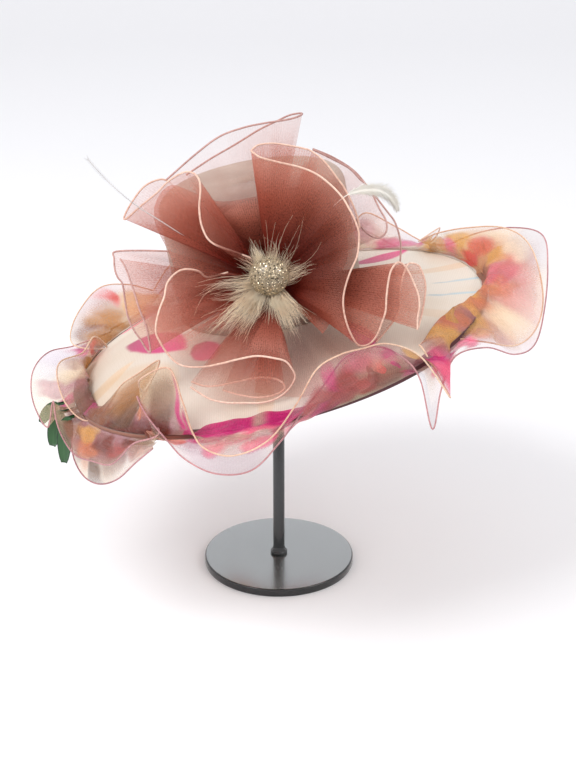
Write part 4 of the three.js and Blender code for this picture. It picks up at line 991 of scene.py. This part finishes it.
def make_brooch():
    """A domed field of small cut stones on a metal back."""
    rng = np.random.default_rng(7)
    radius, high = BROOCH["radius"], BROOCH["high"]
    sides = STONES["sides"]
    stone_faces = capped_faces(3, sides)
    parts, dye = [], []
    for n in range(STONES["count"]):
        out = radius * math.sqrt((n + 0.5) / STONES["count"]) * 0.99
        turn = n * STONES["turn"] + 0.1 * rng.normal()
        slope = 1.8 * high / radius * (out / radius) ** 1.4
        normal = np.array([slope * math.cos(turn), slope * math.sin(turn), 1.0])
        normal = unit(normal + STONES["tilt"] * rng.normal(size=3))
        side = unit(np.cross(normal, [0.2, 0.9, 0.1]))
        up = np.cross(normal, side)
        size = STONES["size"] * rng.uniform(0.8, 1.2)
        dome = high * (1 - (out / radius) ** 2.4) + 1.2
        middle = np.array([out * math.cos(turn), out * math.sin(turn), dome])
        spin = (2 * math.pi * np.arange(sides) / sides + n)[:, None]
        ring = side * np.cos(spin) + up * np.sin(spin)
        rings = [middle + ring * size * width + normal * size * rise
                 for width, rise in ((1.0, -0.9), (1.0, 0.0), (0.52, 0.55))]
        parts.append((np.concatenate(rings), stone_faces))
        tone = rng.choice([0.12, 0.4, 0.7, 1.1], p=[0.25, 0.3, 0.25, 0.2])
        dye += [[0.86 * tone, 0.72 * tone, 0.52 * tone, 1.0]] * (3 * sides)
    verts, faces = joined(parts)
    mesh = mesh_from("brooch_stones", on_brooch(verts, 1.5), faces, dye=dye)
    finish_piece(link(mesh, crystal_material(), smooth_shaded=False), "brooch_crystal")
    profile = [[0.01, 0], [radius - 1, 0], [radius - 0.2, 0.6], [radius, 1.6]]
    for t in np.linspace(0, 1, 14)[1:-1]:
        profile.append([radius * (1 - t), high * (1 - (1 - t) ** 2.4)])
    verts, faces = lathe(profile + [[0.01, high - 0.6]], 48)
    metal = gloss_material("brooch back", (0.30, 0.23, 0.14), 0.4)
    finish_piece(link(mesh_from("brooch_back", on_brooch(verts), faces), metal), "brooch_crystal", "brooch")


# Feathers
def strands(rng, paths, thin):
    """Fine three-sided strands along paths, thinner toward their tips."""
    paths = np.array(paths)
    count = paths.shape[1]
    ahead = paths[:, -1] - paths[:, 0]
    side = unit(np.cross(ahead, rng.normal(size=ahead.shape)))
    up = np.cross(unit(ahead), side)
    turn = (2 * math.pi * np.arange(3) / 3)[:, None]
    rings = side[:, None] * np.cos(turn) + up[:, None] * np.sin(turn)
    wide = thin * (1 - 0.75 * np.arange(count) / (count - 1))
    verts = paths[:, :, None] + wide[:, None, None] * rings[:, None]
    faces = capped_faces(count, 3)
    return joined([(strand.reshape(-1, 3), faces) for strand in verts])


# Locks of down: where each ends seen from the front, how wide it fans, clumps and curl
LOCK = ["right", "up", "toward", "wide", "clumps", "curl"]
LOCKS = [
    [-44, -50, 88, 15, 16, 5], [-34, -60, 90, 12, 16, 5], [-30, -36, 74, 13, 20, 4],
    [-50, -32, 78, 14, 8, 7], [-14, -36, 72, 7, 8, 4], [30, -60, 74, 10, 14, 4], [20, -50, 74, 12, 22, 4],
    [36, -44, 68, 8, 12, 5], [10, -34, 66, 8, 10, 3], [42, 10, 58, 5, 5, 9], [34, 2, 56, 5, 5, 7],
    [-14, 33, 54, 6, 24, 3], [-24, 22, 56, 7, 14, 4], [2, 30, 54, 8, 10, 5], [24, 22, 54, 8, 8, 6],
    [-28, 2, 58, 8, 12, 5], [-62, -14, 70, 20, 5, 12], [-40, -8, 64, 14, 6, 9],
]
# Single long hairs above and beside the brooch
HAIRS = [
    [-22, 56, 54, 30, 13, 9], [14, 60, 56, 28, 9, 9], [34, 40, 56, 22, 9, 9],
    [-60, -20, 70, 26, 12, 12],
]


def lock_paths(rng, row, strands_each):
    """Paths of one lock's strands. Those of a clump curl together."""
    lock = dict(zip(LOCK, row))
    reach = math.hypot(lock["right"], lock["up"])
    paths = []
    for _ in range(lock["clumps"]):
        spread = lock["wide"] * rng.normal(size=3) * 0.5
        curl = lock["curl"] * rng.normal(size=3)
        long = rng.uniform(0.5, 1.05)
        for _ in range(strands_each):
            t = np.linspace(0, 1, 9) * long * rng.uniform(0.72, 1.05)
            fanned = spread + 0.16 * lock["wide"] * rng.normal(size=3)
            bent = curl + 0.3 * lock["curl"] * rng.normal(size=3)
            past = np.maximum(0, reach * t - 16) / max(reach - 16, 8)
            toward = 40 + (lock["toward"] - 40) * past + 4 * np.sin(math.pi * past)
            fan = t ** 0.9 * (0.4 + 0.8 * t)
            sway = 2.2 * rng.normal(size=2)
            right = lock["right"] * t + fanned[0] * fan + bent[0] * np.sin(3.8 * t) * t + sway[0]
            up = lock["up"] * t + fanned[1] * fan + bent[1] * np.sin(4.4 * t) * t + sway[1]
            toward = toward + 0.45 * fanned[2] * fan + 0.6 * bent[2] * np.sin(3.1 * t) * t
            paths.append(from_flower(right, up, toward))
    return paths


def make_tufts():
    rng = np.random.default_rng(19)
    paths = []
    for rows, strands_each in ((LOCKS, 11), (HAIRS, 1)):
        for row in rows:
            paths += lock_paths(rng, row, strands_each)
    down = down_material("marabou down", linear(255, 242, 214), linear(244, 216, 180), 0.15)
    mesh = mesh_from("marabou_down", *strands(rng, paths, 0.19))
    finish_piece(link(mesh, down), "marabou", "feather_tufts")


# Shafts of the two feathers: points' right, up and toward from the flower's middle
WHITE_ROWS = [
    [62, 71, 46.4], [70, 78, 47], [78, 83, 47.5], [88, 86, 47], [98, 87, 45], [108, 86, 42], [116, 82, 39],
    [122, 75, 35], [125, 68, 31],
]
WHITE_HALF = [0.8, 1, 2.5, 6, 8, 8, 6.5, 4.5, 1.5]
QUILL_ROWS = [
    [-80, 43, 22], [-88, 47, 33], [-104, 57, 37], [-120, 67, 36], [-138, 80, 31], [-160, 100, 24],
    [-178, 120, 18],
]


def shaft_of(rows, count):
    """Places along a feather, its shaft, and the ways ahead and across at each of them."""
    t = np.linspace(0, 1, count)
    shaft = from_flower(*spline(rows, t).T)
    ahead = unit(np.gradient(shaft, axis=0))
    return t, shaft, ahead, np.cross(ahead, FRONT)


def make_feathers():
    rng = np.random.default_rng(23)
    white = down_material("white feather", linear(255, 253, 246), linear(253, 248, 238), 0.25)
    grey = down_material("quill feather", linear(214, 208, 204), linear(190, 184, 182), 0.2)
    t, shaft, ahead, across = shaft_of(WHITE_ROWS, 60)
    halves = np.interp(t, np.linspace(0, 1, len(WHITE_HALF)), WHITE_HALF)
    wide = 0.8 * (halves * smooth(0.16, 0.3, t))[:, None]
    vane = [shaft + wide * (sign * 0.8 * across + abs(sign) * 0.4 * ahead) + 0.4 * FRONT
            for sign in (-1, 0, 1)]
    barbs = []
    for n in range(14, 60):
        for sign in (-1, 1):
            for _ in range(7):
                length = halves[n] * rng.uniform(0.65, 1.15) * 1.15
                s = np.linspace(0, 1, 5)[:, None]
                lean = ahead[n] * (0.9 + 0.2 * rng.normal())
                bent = sign * across[n] * 0.8 + lean * s * 0.9 + 0.12 * rng.normal(size=3)
                barbs.append(shaft[n] + s * length * bent + FRONT * (0.6 * np.sin(math.pi * s)))
    parts = [tube(shaft, 0.45 * (1 - 0.6 * t), 6)]
    parts += [(np.stack(vane, 1).reshape(-1, 3), grid_faces(60, 3)), strands(rng, barbs, 0.3)]
    finish_piece(link(mesh_from("white_plume", *joined(parts)), white), "feather", "white_feather")
    t, shaft, ahead, across = shaft_of(QUILL_ROWS, 70)
    barbs = []
    for n in range(8, 70):
        wide = 1.1 + 2.0 * smooth(0.5, 0.9, t[n])
        for sign in (-1, 1):
            s = np.linspace(0, 1, 4)[:, None]
            barbs += [shaft[n] + s * wide * (sign * across[n] * 0.7 + ahead[n] * 1.3)] * 3
    radius = 0.55 * (1 - 0.55 * t) * (0.4 + 0.6 * smooth(0.1, 0.35, t))
    parts = [tube(shaft, radius, 6), strands(rng, barbs, 0.2)]
    finish_piece(link(mesh_from("quill_plume", *joined(parts)), grey), "feather", "quill_feather")


# Leaves
LEAF = {"tucked": 12, "stalk": 0.6, "under": 4}
LEAVES = [
    {"from": 189, "tip": 188, "reach": 44, "drop": 22, "wide": 7},
    {"from": 194, "tip": 195, "reach": 37, "drop": 38, "wide": 9.5},
    {"from": 199, "tip": 200, "reach": 31, "drop": 51, "wide": 9},
]


def make_leaves():
    green = leaf_material()
    facing = np.array([-0.3, -0.8, 0.5])
    t = np.linspace(0, 1, 40)
    at = np.linspace(-1, 1, 15)[None, :, None]
    uvs = np.stack(np.meshgrid(t, np.linspace(0, 1, 15), indexing="ij"), -1)
    past = np.maximum(0, (t - LEAF["stalk"]) / (1 - LEAF["stalk"]))
    for n, leaf in enumerate(LEAVES):
        turn = np.radians(leaf["from"] + (leaf["tip"] - leaf["from"]) * t)
        radius = BRIM["outer"] - LEAF["tucked"] + (leaf["reach"] + LEAF["tucked"]) * t
        fall = LEAF["under"] + (leaf["drop"] - LEAF["under"]) * past * (0.4 + 0.6 * past)
        height = brim_height(BRIM["outer"], turn) - fall
        spine = from_hat(radius * np.cos(turn), radius * np.sin(turn), height)
        halves = 1.6 + (leaf["wide"] - 1.6) * np.sqrt(np.abs(np.sin(math.pi * 0.985 * past)))
        ahead = unit(np.gradient(spine, axis=0))
        side = unit(np.cross(ahead, facing))
        out = np.cross(side, ahead)
        points = spine[:, None] + at * (halves[:, None, None] * side[:, None])
        points = points - 1.5 * (1 - at ** 2) * out[:, None]
        name = f"leaf_{n + 1}"
        piece = link(mesh_from(name + "_cloth", points, grid_faces(40, 15), uvs), green)
        thick = piece.modifiers.new("thick", "SOLIDIFY")
        thick.thickness = 0.7 * MM
        thick.offset = 0
        finish_piece(piece, "leaf_satin", name)


# Surroundings
def make_stage():
    """A pale floor that curves up into a pale backdrop."""
    bend = np.radians(np.linspace(0, 90, 12))
    curve = [[3000 + 1500 * math.sin(b), 1500 * (1 - math.cos(b))] for b in bend]
    sweep = [[-6000, 0]] + curve + [[4500, 6000]]
    verts = [[x, y, z] for y, z in sweep for x in (-8000, 8000)]
    faces = [[2 * k, 2 * k + 1, 2 * k + 3, 2 * k + 2] for k in range(len(sweep) - 1)]
    paint = Paint("pale floor")
    body = paint.body(Roughness=0.9, Base_Color=(0.93, 0.93, 0.945, 1), Specular_IOR_Level=0.1)
    floor = link(mesh_from("floor", verts, faces), paint.finished(body))


def area_light(name, spot, size, power):
    """A square lamp that looks at the hat's middle."""
    data = bpy.data.lights.new(name, "AREA")
    data.size = size
    data.energy = power
    lamp = bpy.data.objects.new(name, data)
    lamp.location = spot
    lamp.rotation_euler = (Vector((0, 0, 0.3)) - Vector(spot)).to_track_quat("-Z", "Y").to_euler()
    bpy.context.scene.collection.objects.link(lamp)


def make_light():
    world = bpy.data.worlds.new("pale room")
    bpy.context.scene.world = world
    world.use_nodes = True
    room = world.node_tree.nodes["Background"]
    room.inputs[0].default_value = (0.98, 0.98, 1.0, 1)
    room.inputs[1].default_value = 0.84
    area_light("high left", (-1.4, -0.9, 2.4), 1.3, 42)
    area_light("high right", (1.8, -0.6, 2.2), 1.2, 14)


def make_camera():
    """The photograph's view: 1.6 m away and 23.2 degrees down, on a 75 mm lens."""
    data = bpy.data.cameras.new("view")
    data.lens = 75
    data.sensor_width = 36
    camera = bpy.data.objects.new("view", data)
    camera.location = (0.0103, -1.598, 0.902)
    camera.rotation_euler = (math.radians(90 - 23.2), 0, 0)
    bpy.context.scene.collection.objects.link(camera)
    bpy.context.scene.camera = camera


make_camera()
make_stage()
make_light()
make_stand()
make_crown()
make_brim()
make_binding()
make_petals()
make_strips()
repaint("flower_hub", satin_material("hub cloth", 200, 0.2, (linear(150, 70, 54), linear(120, 48, 36))))
make_brooch()
make_tufts()
make_feathers()
make_leaves()
scene = bpy.context.scene
scene.view_settings.view_transform = "Standard"
scene.cycles.transparent_max_bounces = 40
scene.cycles.max_bounces = 12
